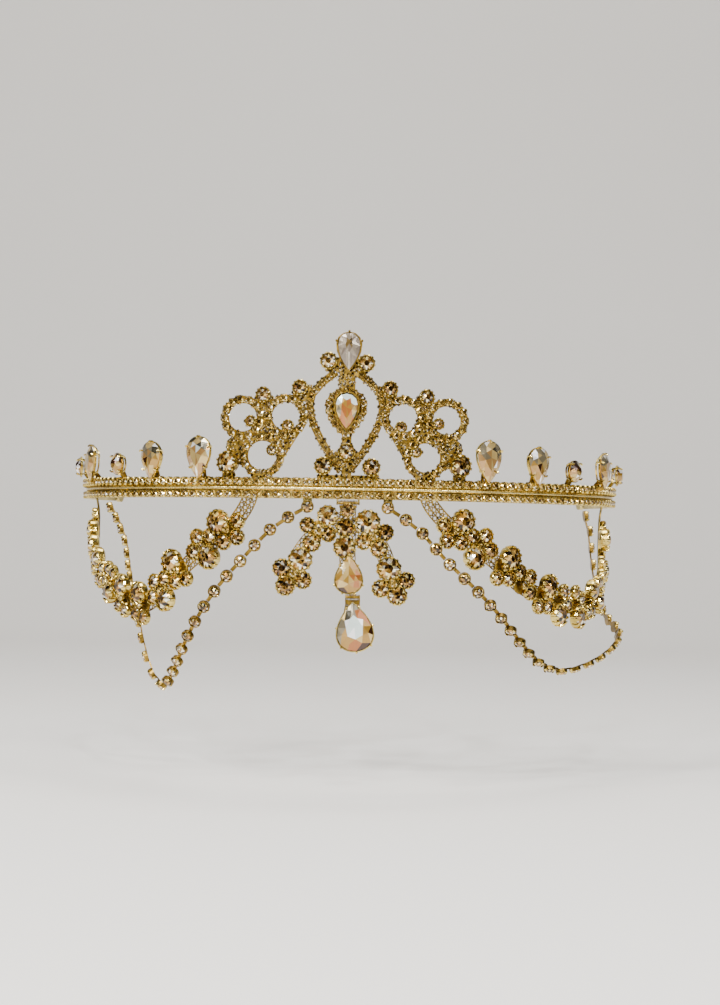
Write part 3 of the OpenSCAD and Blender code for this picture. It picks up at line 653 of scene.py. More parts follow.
def set_stone(node, body, material, shape, seed, tones_by_place, slim=1.0, short=1.0):
    """A single stone whose painted reflection tones follow the place of each facet."""
    centre, facing, up, wide, tall = PLACES[node][0]
    wide, tall = wide * slim, tall * short
    size = (wide, wide if shape is round_cut else tall, wide)
    stone = filled(node + "_cut", [(centre, facing, up, size)], shape, material, seed, body)
    tones = stone.data.attributes["tone"].data
    vertical = UP - facing.z * facing
    across = vertical.cross(facing)
    for polygon, tone in zip(stone.data.polygons, tones):
        offset = polygon.center - centre
        x, y = 2 * offset.dot(across) / wide, 2 * offset.dot(vertical) / max(tall, wide)
        tone.value = picked((tone.value * 37.7 + 0.31 * seed) % 1.0, tones_by_place(x, y))
    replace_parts(stone, node)


TEAR_FILL, ROUND_FILL = 1.05, 1.2
UPRIGHTS = [(f"side_stone_{side}{number}", number in (3, 5), first + number)
            for side, first in (("l", 20), ("r", 25)) for number in range(1, 6)]
set_stone("crest_top_stone", TIARA, opal_glass, opal_cut, 11, top_tones, 0.93)
set_stone("crest_center_stone", TIARA, peach_glass, tear_cut, 12, middle_tones, 0.92, 0.93)
for node, is_round, seed in UPRIGHTS:
    shape, tones, fill = ((round_cut, round_tones, ROUND_FILL) if is_round
                          else (tear_cut, upright_tones, TEAR_FILL))
    set_stone(node, TIARA, upright_glass, shape, seed, tones, fill, fill)
set_stone("upper_drop_stone", PENDANT, drop_glass, drop_cut, 31, upper_tones)
set_stone("lower_drop_stone", LOWER_DROP, drop_glass, drop_cut, 32, lower_tones)

# %% [markdown]
# ## Claws
# Every round setting has a ring of small claws pressed over the edge of its stone. One claw is a
# short strip that tapers and leans inwards. A ring of them is a pattern for all the settings,
# sized by the setting's radius. The cups of a chain have four broad claws each.

# %% Put claws on the settings
def skin(rings, closed=False):
    """Rings of points and the faces between them; closed joins the last ring to the first."""
    rows, sides = len(rings), len(rings[0])
    faces = []
    for row in range(rows if closed else rows - 1):
        a, b = row * sides, (row + 1) % rows * sides
        faces += [(a + k, a + (k + 1) % sides, b + (k + 1) % sides, b + k) for k in range(sides)]
    return [point for ring in rings for point in ring], faces


def capped(rings):
    """A skin over rings with a flat cap at each end."""
    points, faces = skin(rings)
    first = tuple(range(len(rings[0])))
    return points, faces + [first[::-1], tuple(len(points) - len(first) + k for k in first)]


SQUARE = [(-1, -1), (1, -1), (1, 1), (-1, 1)]
CUP_WALL = 0.5  # from a stone's edge to the outside of its cup
CLAW_PATH = [(1.0, -0.4, 0.1, 1.0), (1.04, 0.0, 0.13, 0.95), (0.98, 0.2, 0.13, 0.85), (0.87, 0.31, 0.1, 0.5)]


def claw_ring(count, wide, path=CLAW_PATH):
    """A ring of claws; path is a list of (radius, height, thickness, share of the width)."""
    claws = []
    for k in range(count):
        angle = math.tau * (k + 0.5) / count
        out = Vector((math.cos(angle), math.sin(angle), 0))
        side = UP.cross(out)
        claws.append(capped([[radius * out + height * UP + a * side * wide * share / 2 + b * out * thick / 2
                              for a, b in SQUARE] for radius, height, thick, share in path]))
    return claws


fine_claws = joined("fine claws", claw_ring(12, 0.28))
chain_claws = joined("chain claws", claw_ring(4, 0.5))


def setting_places(node):
    """Seats for cups and claws, each with the radius of its setting."""
    wall = 0.3 if "chain" in node else 0.15 if "pendant" in node else CUP_WALL
    return [(c, f, u, EASED_SETTING * (w / 2 + CUP_WALL * MM) if eased(node, c) else w / 2 + wall * MM)
            for c, f, u, w, h in PLACES[node]]


for node, pattern in (("crest_round_stones", fine_claws), ("chain_stones_l", chain_claws),
                      ("chain_stones_r", chain_claws)):
    filled(node.replace("stones", "claws"), setting_places(node), pattern, smooth_gold, 1, TIARA)

# %% [markdown]
# ## Cups of the garlands and the pendant
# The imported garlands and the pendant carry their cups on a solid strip. The real strip is a
# ribbon of wires, so both frames are made anew here: first their cups, each a turned wall with
# a thick floor and a ring of claws.

# %% Turn the cups
def circle(radius, sides, height=0.0):
    """Points round the Z axis."""
    angles = [math.tau * k / sides for k in range(sides)]
    return [Vector((radius * math.cos(a), radius * math.sin(a), height)) for a in angles]


def lathe(profile, sides):
    """A turned shape from a profile of (radius, height) that starts and ends on the axis."""
    points, faces = skin([circle(radius, sides, height) for radius, height in profile[1:-1]])
    foot, head, last = len(points), len(points) + 1, len(points) - sides
    for k in range(sides):
        j = (k + 1) % sides
        faces += [(foot, j, k), (last + k, last + j, head)]
    return points + [profile[0][1] * UP, profile[-1][1] * UP], faces


CUP_PROFILE = [(0, -0.69), (0.72, -0.69), (0.95, -0.55), (1.03, -0.15), (1.03, 0.06), (0.93, 0.06),
               (0.86, -0.2), (0.3, -0.57), (0, -0.59)]
cup_pattern = joined("cup", [lathe(CUP_PROFILE, 16)] + claw_ring(12, 0.28))
for name, node, body in (("garland_cups_l", "garland_stones_l", TIARA),
                         ("garland_cups_r", "garland_stones_r", TIARA),
                         ("pendant_cups", "pendant_stones", PENDANT)):
    filled(name, setting_places(node), cup_pattern, smooth_gold, 1, body)

# %% [markdown]
# ## Wire ribbons
# The clusters sit on ribbons of woven wire. A tree turns one middle line into strands: it
# copies the line, shifts each copy sideways, and lets it swing from side to side so that
# neighbours meet and part like a net. A thin round profile makes them wires.

# %% Build the ribbon tree
ribbon_tree, ribbon, ribbon_end = geometry_tree("wire ribbon", [
    ("Strands", "Int"), ("Width", "Float"), ("Swing", "Float"), ("Pitch", "Float"), ("Wire", "Float"),
    ("Step", "Float"), ("Material", "Material"), ("Seed", "Int")])


def ribbon_node(kind, inputs=None, **settings):
    return add_node(ribbon_tree, kind, inputs, **settings).outputs


def ribbon_maths(operation, *operands):
    return maths(ribbon_tree, operation, *operands)


line = ribbon_node("GeometryNodeMeshToCurve", {"Mesh": ribbon["Geometry"]})["Curve"]
line = ribbon_node("GeometryNodeResampleCurve", {"Curve": line, "Length": ribbon["Step"]},
                   mode="LENGTH")["Curve"]
double = ribbon_node("GeometryNodeDuplicateElements", {"Geometry": line, "Amount": ribbon["Strands"]},
                     domain="SPLINE")
lines = stored(ribbon_tree, double["Geometry"], "strand", "CURVE", double["Duplicate Index"])
strand = carried(ribbon_tree, "strand", "FLOAT")
share = ribbon_maths("DIVIDE", strand, ribbon_maths("SUBTRACT", ribbon["Strands"], 1.0))
apart = ribbon_maths("MULTIPLY", ribbon_maths("SUBTRACT", share, 0.5), ribbon["Width"])
along = ribbon_maths("DIVIDE", ribbon_node("GeometryNodeSplineParameter")["Length"], ribbon["Pitch"])
phase = ribbon_maths("ADD", along, ribbon_maths("MULTIPLY", strand, 0.5))
wave = ribbon_maths("SUBTRACT", ribbon_maths("PINGPONG", phase, 0.5), 0.25)
swing = ribbon_maths("MULTIPLY", wave, ribbon_maths("MULTIPLY", ribbon["Swing"], 4.0))
sideways = {0: carried(ribbon_tree, "across"), "Scale": ribbon_maths("ADD", apart, swing)}
shift = ribbon_node("ShaderNodeVectorMath", sideways, operation="SCALE")["Vector"]
lines = ribbon_node("GeometryNodeSetPosition", {"Geometry": lines, "Offset": shift})["Geometry"]
round_wire = ribbon_node("GeometryNodeCurvePrimitiveCircle", {"Resolution": 6, "Radius": ribbon["Wire"]})
wires = ribbon_node("GeometryNodeCurveToMesh", {
    "Curve": lines, "Profile Curve": round_wire["Curve"], "Fill Caps": True})
ended(ribbon_tree, ribbon, ribbon_end, wires["Mesh"])

# %% [markdown]
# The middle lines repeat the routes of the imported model: for a garland the angle from the
# front, the radius and the height of each cluster, for the pendant points across and up.

# %% Lay the ribbons
def smooth_line(rows, steps=12):
    """Points of a smooth curve through all rows."""
    line = []
    for i in range(len(rows) - 1):
        a, b = rows[max(0, i - 1)], rows[i]
        c, d = rows[i + 1], rows[min(len(rows) - 1, i + 2)]
        for s in range(steps):
            f = s / steps
            line.append(b + f * ((c - a) / 2 + f * ((2 * a - 5 * b + 4 * c - d) / 2
                                                    + f * (3 * b - a - 3 * c + d) / 2)))
    return line + [rows[-1]]


def on_ring(radius, angle, height):
    a = math.radians(angle)
    return Vector((radius * math.sin(a), -radius * math.cos(a), height)) * MM


GARLANDS = {
    "l": [(19.5, 74.7, 3.4), (21.8, 72.5, -2), (26, 71.6, -8.2), (32.2, 70.8, -13.3), (39.2, 70.5, -19.3),
          (44.8, 70.5, -25.3), (51.2, 70.8, -29.2), (58.4, 71.3, -27.4), (65.6, 71.8, -23.2),
          (73, 72.3, -20), (80.8, 72.8, -16.4), (87.4, 73, -8.2), (88.4, 73.4, -2), (89, 74.7, 3.4)],
    "r": [(15.5, 74.7, 3.4), (17.8, 72.4, -1.6), (23, 71.6, -7.6), (29.2, 70.8, -12), (35.8, 70.5, -17.2),
          (41.3, 70.5, -22), (48.3, 70.5, -24.8), (54.8, 70.8, -27.2), (61.7, 71.2, -27.8),
          (69.2, 71.8, -26.6), (77, 72.3, -24.6), (84.5, 72.8, -19), (87.5, 73, -9.4), (88.6, 73.4, -2),
          (89, 74.7, 3.4)]}
MIRROR = {"l": -1, "r": 1}
RIBBON_WIDTH = 4.0 * MM


def line_mesh(points, out_of):
    """A middle line that carries the direction across the ribbon at each point."""
    mesh = bpy.data.meshes.new("line")
    mesh.from_pydata([tuple(p) for p in points], [(i, i + 1) for i in range(len(points) - 1)], [])
    values = []
    for i, point in enumerate(points):
        tangent = (points[min(i + 1, len(points) - 1)] - points[max(i - 1, 0)]).normalized()
        values.extend(out_of(point).cross(tangent).normalized())
    mesh.attributes.new("across", "FLOAT_VECTOR", "POINT").data.foreach_set("vector", values)
    return mesh


def wire_ribbon(name, points, out_of, body, rails=4):
    """Edge wires, inner wires along them and a net between them."""
    straight = grown(name, line_mesh(points, out_of), ribbon_tree, strands=rails, width=RIBBON_WIDTH,
                     swing=0.0, pitch=0.004, wire=0.0009 / rails, step=0.0008, material=wire_gold, seed=1)
    net = grown(name + "_net", line_mesh(points, out_of), ribbon_tree, strands=6, width=RIBBON_WIDTH * 0.8,
                swing=0.0004, pitch=0.0018, wire=0.00017, step=0.000225, material=wire_gold, seed=2)
    shape = bmesh.new()
    shape.from_mesh(straight.data)
    shape.from_mesh(net.data)
    shape.to_mesh(straight.data)
    shape.free()
    bpy.data.objects.remove(net)
    return finished(straight, body)


def from_axis(point):
    return Vector((point.x, point.y, 0)).normalized()


for side, rows in GARLANDS.items():
    route = smooth_line([on_ring(r, MIRROR[side] * a, z) for a, r, z in rows])
    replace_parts(wire_ribbon("garland_ribbon_" + side, route, from_axis, TIARA), "garland_frame_" + side)

PENDANT_PLANE = -74.6
PENDANT_LINES = {
    "left_arm": [(-0.5, -5), (-6.5, -7.4), (-10.6, -11.6), (-13.4, -16.5), (-14.3, -22)],
    "right_arm": [(0.5, -6.5), (5.6, -8.6), (8.9, -12.6), (10.6, -17), (12, -23.6)],
    "spine": [(0, -1.9), (0, -9), (0.1, -16), (0.5, -23.8)]}
for name, rows in PENDANT_LINES.items():
    route = smooth_line([Vector((x, PENDANT_PLANE, z)) * MM for x, z in rows])
    strip = wire_ribbon("pendant_" + name, route, lambda point: FRONT, PENDANT, rails=6)
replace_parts(strip, "pendant_frame")

# %% [markdown]
# ## Backings of the clusters
# The four settings of a cluster are soldered to one small round backing with a short post in its
# middle. One turned shape, in millimetres, goes behind each cluster, and a small stone in a low
# cup with four claws stands on each post and fills the middle.

# %% Place the backings and the middle stones
POST = 1.55
STONE_LIFT, STONE_WIDTH = 0.5, 1.9  # for a low cup of radius 1
backing = joined("backing", [lathe([(0, -0.3), (2.2, -0.3), (2.5, -0.1), (2.5, 0.2), (2.1, 0.35), (0.6, 0.4),
                                    (0.6, 1.6), (0, 1.65)], 14)])
LOW_CLAW = [(1.0, 0.1, 0.24, 1.0), (1.06, 0.6, 0.3, 0.95), (0.8, 0.9, 0.26, 0.7)]
low_cup = joined("low cup", [lathe([(0, -0.2), (1.02, -0.2), (1.08, 0.5), (0.96, 0.5), (0.7, 0.3), (0, 0.3)],
                                   12)] + claw_ring(4, 0.62, LOW_CLAW))


def dress_clusters(name, body, clusters, seed):
    """Backings, low cups and stones for clusters given as (middle, facing, size)."""
    backs = [(at, out, UP, MM) for at, out, size in clusters]
    cups = [(at + POST * MM * out, out, UP, size * MM) for at, out, size in clusters]
    stones = [(at + (POST + STONE_LIFT * size) * MM * out, out, UP, STONE_WIDTH * size * MM)
              for at, out, size in clusters]
    filled(name + "_backings", backs, backing, shaded_cast_gold, 1, body)
    filled(name + "_middle_cups", cups, low_cup, smooth_gold, 1, body)
    filled(name + "_middle_stones", stones, small_cut, row_glass, seed, body)


for side, seed in (("l", 51), ("r", 52)):
    clusters = [(on_ring(r + 0.2, MIRROR[side] * a, z), from_axis(on_ring(r, MIRROR[side] * a, z)), 1.05)
                for a, r, z in GARLANDS[side][2:-2]]
    dress_clusters("garland_" + side, TIARA, clusters, seed)
dress_clusters("pendant", PENDANT, [
    (Vector((x, PENDANT_PLANE - 0.2, z)) * MM, FRONT, size)
    for x, z, size in ((-7.5, -8, 1.35), (6.9, -9.5, 1.05), (-14.1, -19.5, 1.0), (12.1, -21.7, 1.0))], 53)

# %% [markdown]
# ## Hinges and the cups of the drops
# The pendant turns on a bar under the band. The real part has a loop of many wires round that
# bar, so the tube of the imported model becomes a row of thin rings. The lower drop turns on its
# own bar in the same way: two hooks of wire on each side hold the bar and run down into its cup,
# with a net of crossing wires between them.
# Each drop's cup is a wall that follows the teardrop's outline, with round claws.

# %% Shapes of the hinges and cups, with their sizes in millimetres
def turned(parts, matrix):
    """The same parts, turned and moved."""
    return [([matrix @ point for point in points], faces) for points, faces in parts]


def coil(middle, half, count):
    """Thin rings with rounded edges, side by side round a bar along X."""
    pitch, inner, outer = 2 * half / count, 0.52, 0.78
    thin = 0.31 * pitch
    edge = 0.6 * thin
    profile = [(inner, -thin), (outer - edge, -thin), (outer, edge - thin), (outer, thin - edge),
               (outer - edge, thin), (inner, thin)]
    parts = []
    for k in range(count):
        at = Vector(middle) + Vector(((k + 0.5) * pitch - half, 0, 0))
        parts.append(skin([[(at + Vector((along, p.x, p.y))) * MM for p in circle(radius, 16)]
                           for radius, along in profile], closed=True))
    return parts


def rod_part(middle, half, radius):
    """A round bar along X."""
    points, faces = lathe([(0, -half), (radius - 0.1, -half), (radius, 0.1 - half), (radius, half - 0.1),
                           (radius - 0.1, half), (0, half)], 14)
    return [(Vector((p.z, p.x, p.y)) + Vector(middle)) * MM for p in points], faces


def wire_part(path, radius):
    """A round wire through points; it never runs along X."""
    path, rings = [Vector(p) for p in path], []
    for i, point in enumerate(path):
        along = (path[min(len(path) - 1, i + 1)] - path[max(0, i - 1)]).normalized()
        side = (Vector((1, 0, 0)) - along.x * along).normalized()
        lift = along.cross(side)
        rings.append([(point + p.x * side + p.y * lift) * MM for p in circle(radius, 6)])
    return capped(rings)


def box_part(low, high):
    """A plain block from its two opposite corners."""
    return capped([[Vector(((low, high)[a > 0][0], (low, high)[b > 0][1], z)) * MM for a, b in SQUARE]
                   for z in (low[2], high[2])])


def outline_rings(outline, width, height, steps, levels):
    """Rings along an outline, one for each level (extra width, height over the girdle)."""
    edge = [outline(k / steps) for k in range(steps)]
    return [[Vector((p.x * (width + extra), p.y * (height + extra), z)) * MM for p in edge]
            for extra, z in levels]


def stand_of(node):
    """The matrix that puts a shape on the stone of a node, its front along the stone's facing."""
    centre, facing, up, wide, tall = PLACES[node][0]
    return Matrix.Translation(centre) @ Matrix((up.cross(facing), up, facing)).transposed().to_4x4()


def drop_cup(name, node, body, width, height, depth, claws):
    """A teardrop cup with round claws, round the stone of a node."""
    wall = 0.35
    parts = [capped(outline_rings(tear_outline, width, height, 48, [
        (2 * wall - 1.2, -depth), (2 * wall, 0.5 - depth), (2 * wall, -0.06), (2 * wall - 0.12, 0),
        (0.2, 0), (0.1, -0.3), (-1.4, wall - depth)]))]
    claw = lathe([(0, -depth), (0.32, -depth), (0.32, 0.45), (0.256, 0.65), (0.128, 0.77), (0, 0.8)], 8)
    for angle in claws:
        at = tear_outline(angle / 360)
        place = Matrix.Translation(Vector((-at.x * (width + 0.85), at.y * (height + 0.85), 0)) * MM)
        parts += turned([claw], place @ Matrix.Scale(MM, 4))
    return metal_piece(name, turned(parts, stand_of(node)), body, smooth_gold)


print("shapes ready")

# %% Make the hinges and the teardrop cups
PENDANT_AXIS, DROP_AXIS, DROP_X = (-76.25, -0.95), (-77.55, -25.4), 1.6
metal_piece("pendant_tubes", [
    *coil((0, *PENDANT_AXIS), 2.3, 12), *coil((DROP_X, *DROP_AXIS), 1.1, 6),
    box_part((-2.3, -76.4, -2.2), (2.3, -74.3, -1.6)), box_part((-1, -77.2, -3.6), (1, -74.5, -2.2)),
    *[box_part((0.68 + 0.37 * k, -77.85, -25.1), (0.88 + 0.37 * k, -77.05, -24.4)) for k in range(5)]],
    PENDANT, shaded_cast_gold)
drop_cup("upper_drop_cup", "upper_drop_stone", PENDANT, 7, 9.6, 2.6, [62, 122, 160, 200, 238, 298])
lower_cup = drop_cup("lower_drop_cup", "lower_drop_stone", LOWER_DROP, 9.4, 12.6, 2.1,
                     [42, 90, 140, 180, 220, 270, 318])
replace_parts(lower_cup, "lower_drop_setting")
HOOK = [(-77.0, -29.3), (-76.95, -26.8), (-77.0, -25.9)] + [
    (DROP_AXIS[0] + 0.52 * math.cos(math.radians(turn)), DROP_AXIS[1] + 0.52 * math.sin(math.radians(turn)))
    for turn in range(0, 271, 30)]
NET_TOP, NET_FOOT = (-77.0, -26.35), (-77.0, -29.3)
metal_piece("lower_drop_hooks", [
    rod_part((DROP_X, *DROP_AXIS), 1.95, 0.38), rod_part((DROP_X, *NET_TOP), 2.0, 0.2),
    *[wire_part([(DROP_X + x, y, z) for y, z in HOOK], 0.16) for x in (-1.78, -1.4, 1.4, 1.78)],
    *[wire_part([(DROP_X + 0.4 * k, *NET_TOP), (DROP_X + 0.4 * k + lean, *NET_FOOT)], 0.15)
      for k in range(-4, 5) for lean in (-0.5, 0.5)]], LOWER_DROP, shaded_cast_gold)

# %% [markdown]
# ## Settings of the uprights
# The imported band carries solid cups, strong and simple. On the real band each upright sits in an
# open basket: two thin galleries that follow the stone's outline, claws that pass its edge and bend
# over it, and a forked stem. A copy of the band is cut level with its top and capped, and each
# basket is lofted from the outline of its stone.

# %% Make the baskets
BAND_TOP = 5.4
# share of the stone's outline, low edge, high edge and thickness of a gallery
BASE, SEAT = (0.8, -1.75, -1.35, 0.28), (1.0, -0.6, -0.1, 0.4)
TEAR_CLAWS, ROUND_CLAWS = [0, 62, 122, 180, 238, 298], [45, 135, 225, 315]


def basket(node, outline, claws, fill):
    """The parts of an open setting round the stone of a node, drawn larger by fill."""
    centre, facing, up, wide, tall = PLACES[node][0]
    width, height = fill * wide / MM, fill * max(tall, wide) / MM
    parts = []
    for share, low, high, wall in (BASE, SEAT):
        levels = [(-wall, low), (wall, low), (wall, high), (-wall, high)]
        parts.append(skin(outline_rings(outline, width * share, height * share, 40, levels), closed=True))
    for angle in claws:
        at = outline(angle / 360)
        bends = ((BASE[0], 0.1, BASE[1]), (1, 0.4, -0.6), (1, 0.5, 0.4), (1, -0.4, 0.9))
        parts.append(wire_part([(at.x * (share * width + extra), at.y * (share * height + extra), z)
                                for share, extra, z in bends], 0.26))
    return turned(parts, stand_of(node))


def forked_stem(node, across, rise, fill):
    """Two wires from the band up to the base gallery, on a small foot."""
    centre, facing, up, wide, tall = PLACES[node][0]
    low = centre.z / MM - BASE[0] * fill * max(tall, wide) / MM / 2
    parts = [box_part((-1.5, -76.2, 4.9), (1.5, -75.3, 5.75))]
    for side in (-1, 1):
        bends = [(0.5 * side, -75.8, 5), (0.65 * side, -76.4, 5.9), (across * side, -77.2, low + rise)]
        parts.append(wire_part(bends, 0.5))
    return turned(parts, Matrix.Rotation(math.atan2(centre.x, -centre.y), 4, "Z"))


strip = bmesh.new()
strip.from_mesh(NODES["band"].data)
bmesh.ops.remove_doubles(strip, verts=strip.verts, dist=1e-7)
bmesh.ops.bisect_plane(strip, geom=[*strip.verts, *strip.edges, *strip.faces], clear_outer=True,
                       plane_co=(0, 0, (BAND_TOP + 0.03) * MM), plane_no=(0, 0, 1))
bmesh.ops.holes_fill(strip, edges=[edge for edge in strip.edges if edge.is_boundary])
bmesh.ops.triangulate(strip, faces=strip.faces)
strip_mesh = bpy.data.meshes.new("band_strip")
strip.to_mesh(strip_mesh)
print("open edges on the strip:", sum(1 for edge in strip.edges if edge.is_boundary))
strip.free()
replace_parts(finished(linked("band_strip", strip_mesh), TIARA, band_gold), "band")
baskets, stems = [], []
for node, is_round, seed in UPRIGHTS:
    if is_round:
        baskets += basket(node, round_outline, ROUND_CLAWS, ROUND_FILL)
        stems += forked_stem(node, 0.9, 0.3, ROUND_FILL)
    else:
        baskets += basket(node, tear_outline, TEAR_CLAWS, TEAR_FILL)
        stems += forked_stem(node, 1.05, 1.3, TEAR_FILL)
metal_piece("upright_settings", baskets, TIARA, smooth_gold)
metal_piece("upright_stems", stems, TIARA, shaded_cast_gold)

# %% [markdown]
# ## Rows of small stones on the band
# Two rows of small round settings run round the band, above and below the bright moulding. Each
# is a low cup with four claws, and its top stands a little over the band's edge. The seats tree
# fills all of them with one cup pattern and one small stone.

# %% Fill the rows of the band
ROW_COUNT, ROW_PITCH = 101, 2.02
CUPS_AT, STONES_AT = 76.7, 77.2  # radii round the head opening


def row_places(radius, height, size):
    """Seats round the band at equal angles, sizes in millimetres."""
    places = []
    for k in range(ROW_COUNT):
        at = on_ring(radius, (k - (ROW_COUNT - 1) / 2) * ROW_PITCH, height)
        places.append((at, from_axis(at), UP, tuple(MM * s for s in size)))
    return places


for name, height, tall, seed in (("upper", 4.42, 1.08, 45), ("lower", 1.0, 0.92, 46)):
    cups = row_places(CUPS_AT, height, (1.2, tall, 1.1 * tall))
    filled(f"band_{name}_settings", cups, low_cup, smooth_gold, 1, TIARA)
    stones = row_places(STONES_AT, height, (2.05, 1.75 * tall, 1.8))
    filled(f"band_{name}_stones", stones, small_cut, bright_glass, seed, TIARA)

# %% [markdown]
# ## Rows along the crest's lines
# The loops of the scrolls, the pointed frame and the plate round the middle stone are edged with
# single stones in the same low cups, so their outlines are bumpy. The seats lie on the curved
# front of the crest. Where two lines meet, or a larger setting stands, a seat is left out.

# %% Line the crest with stones
CREST_RADIUS, CREST_FOOT = 76.2, 6.6
LOOPS_MIDDLE, CREST_MIDDLE = -1.3, -0.9
KEPT_FREE = 0.86  # the share of its radius that a seat keeps to itself
LOOPS = [(26.8, 21.2, 3.7), (15.3, 21.5, 3.7), (21.4, 11.2, 3.8)]
ARCH = [(3.8, 32.4), (6.5, 30.2), (8.9, 27.3), (9.5, 24.6), (9.2, 21.6), (8.1, 18.6), (6.6, 15.6),
        (4.9, 12.8), (3, 10), (1.2, 7.4)]


def spaced(points, pitch):
    """Points at an even pitch along a line in the plane."""
    left, kept = 0.0, [points[0]]
    for a, b in zip(points, points[1:]):
        length = math.dist(a, b)
        while left + pitch <= length + 1e-9:
            left += pitch
            kept.append((a[0] + (b[0] - a[0]) * left / length, a[1] + (b[1] - a[1]) * left / length))
        left -= length
    return kept


def crest_lines():
    """Flat seats of the crest's rows: across, up, size and which row."""
    flat = []
    for x, z, hole in LOOPS:
        reach = hole + 1.15
        for k in range(13):
            angle = math.tau * k / 13
            across, up = x + reach * math.cos(angle), z + reach * math.sin(angle)
            flat += [(mirror * across + LOOPS_MIDDLE, up, 1.0, "row") for mirror in (-1, 1)]
    halo = [tear_outline(-k / 64) * 2 for k in range(65)]
    halo = spaced([(4.55 * p.x, 22.4 - 5.65 * p.y) for p in halo], 1.95)
    flat += [(x + CREST_MIDDLE, z, 0.98, "halo") for x, z in halo]
    for mirror in (-1, 1):
        flat += [(mirror * x + CREST_MIDDLE, z, 0.74, "row") for x, z in spaced(ARCH, 1.6)]
    return flat


taken = [(c.x / MM, c.z / MM, w / MM / 2 + 0.4) for c, f, u, w, h in PLACES["crest_round_stones"]]
cup_seats, stone_seats = [], {"row": [], "halo": []}
for across, up, size, row in crest_lines():
    if up > CREST_FOOT and all(math.hypot(across - a, up - b) > r + KEPT_FREE * size for a, b, r in taken):
        taken.append((across, up, KEPT_FREE * size))
        foot = on_ring(CREST_RADIUS, math.degrees(math.asin(across / CREST_RADIUS)), up)
        out = from_axis(foot)
        cup_seats.append((foot, out, UP, size * MM))
        stone_seats[row].append((foot + out * STONE_LIFT * size * MM, out, UP, STONE_WIDTH * size * MM))
filled("crest_row_settings", cup_seats, low_cup, smooth_gold, 1, TIARA)
for row, material, seed in (("row", row_glass, 48), ("halo", bright_glass, 49)):
    filled(f"crest_{row}_stones", stone_seats[row], small_cut, material, seed, TIARA)
print("crest row seats:", len(cup_seats))

# %% [markdown]
# ## Grains on the crest
# The rest of the pierced crest is covered with very small stones, set close together. Its front
# faces are copied, and a tree scatters points on them that keep their distance from each other.
# Points too close to a larger setting are dropped, and a tiny cut stone goes on each of the rest.

# %% Build the tree that scatters grains
grain_tree, grains_in, grain_end = geometry_tree("scatter grains", [
    ("Shape", "Object"), ("Settings", "Object"), ("Distance", "Float"), ("Smallest", "Float"),
    ("Largest", "Float"), ("Material", "Material"), ("Seed", "Int")])


def grain_node(kind, inputs=None, **settings):
    return add_node(grain_tree, kind, inputs, **settings).outputs


scattered = grain_node("GeometryNodeDistributePointsOnFaces", {
    "Mesh": grains_in["Geometry"], "Distance Min": grains_in["Distance"], "Density Max": 6.0e6,
    "Seed": grains_in["Seed"]}, distribute_method="POISSON")
settings = shape_of(grain_tree, grains_in["Settings"])
nearest = grain_node("GeometryNodeSampleNearest", {"Geometry": settings})["Index"]
where = grain_node("GeometryNodeInputPosition")["Position"]


def of_nearest(value, kind):
    """A value of the nearest setting."""
    inputs = {"Geometry": settings, "Value": value, "Index": nearest}
    return grain_node("GeometryNodeSampleIndex", inputs, data_type=kind)["Value"]


away = grain_node("ShaderNodeVectorMath", {0: where, 1: of_nearest(where, "FLOAT_VECTOR")},
                  operation="DISTANCE")
reach = of_nearest(carried(grain_tree, "reach", "FLOAT"), "FLOAT")
too_near = maths(grain_tree, "LESS_THAN", away["Value"], reach)
thinned = grain_node("GeometryNodeDeleteGeometry", {"Geometry": scattered["Points"], "Selection": too_near})
mood = chance(grain_tree, grains_in["Seed"], -0.3, 0.3)
size = grain_node("FunctionNodeRandomValue", {2: grains_in["Smallest"], 3: grains_in["Largest"]})[1]
copies = grain_node("GeometryNodeInstanceOnPoints", {
    "Points": stored(grain_tree, thinned["Geometry"], "mood", "POINT", mood),
    "Instance": shape_of(grain_tree, grains_in["Shape"]), "Rotation": scattered["Rotation"], "Scale": size})
ended(grain_tree, grains_in, grain_end, copies["Instances"])

# %% Scatter the grains
def crest_front():
    """A copy of the crest's faces that lie at its radius and face outwards."""
    shape = bmesh.new()
    shape.from_mesh(NODES["crest_frame"].data)
    bmesh.ops.remove_doubles(shape, verts=shape.verts, dist=1e-7)
    away = []
    for face in shape.faces:
        flat = face.normal.dot(from_axis(face.calc_center_median())) > 0.99 and all(
            abs(math.hypot(v.co.x, v.co.y) - CREST_RADIUS * MM) < 0.06 * MM for v in face.verts)
        if not flat:
            away.append(face)
    bmesh.ops.delete(shape, geom=away, context="FACES")
    mesh = bpy.data.meshes.new("front faces")
    shape.to_mesh(mesh)
    shape.free()
    print("crest front:", round(sum(p.area for p in mesh.polygons) * 1e6), "square mm")
    return mesh


held_places = [(foot, 0.95 * size) for foot, out, up, size in cup_seats]
held_places += [(c, w / 2 + 0.9 * MM) for c, f, u, w, h in PLACES["crest_round_stones"]]
held = bpy.data.meshes.new("held places")
held.from_pydata([tuple(place) for place, reach in held_places], [], [])
reaches = held.attributes.new("reach", "FLOAT", "POINT").data
reaches.foreach_set("value", [reach for place, reach in held_places])
held_points = linked("held places", held)
grain_pattern = linked("grain", cut_stone("grain cut", round_outline, 5, 0.32, 0.12, table=0.5))
grains = grown("crest_grains", crest_front(), grain_tree, shape=grain_pattern, settings=held_points,
               distance=0.00082, smallest=0.0008, largest=0.00112, material=grain_glass, seed=5)
for helper in (grain_pattern, held_points):
    bpy.data.objects.remove(helper)
finished(grains, TIARA)

# %% [markdown]
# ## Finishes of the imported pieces
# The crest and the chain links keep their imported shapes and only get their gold. A small plate
# joins the first cup of each chain to the band's lower edge.

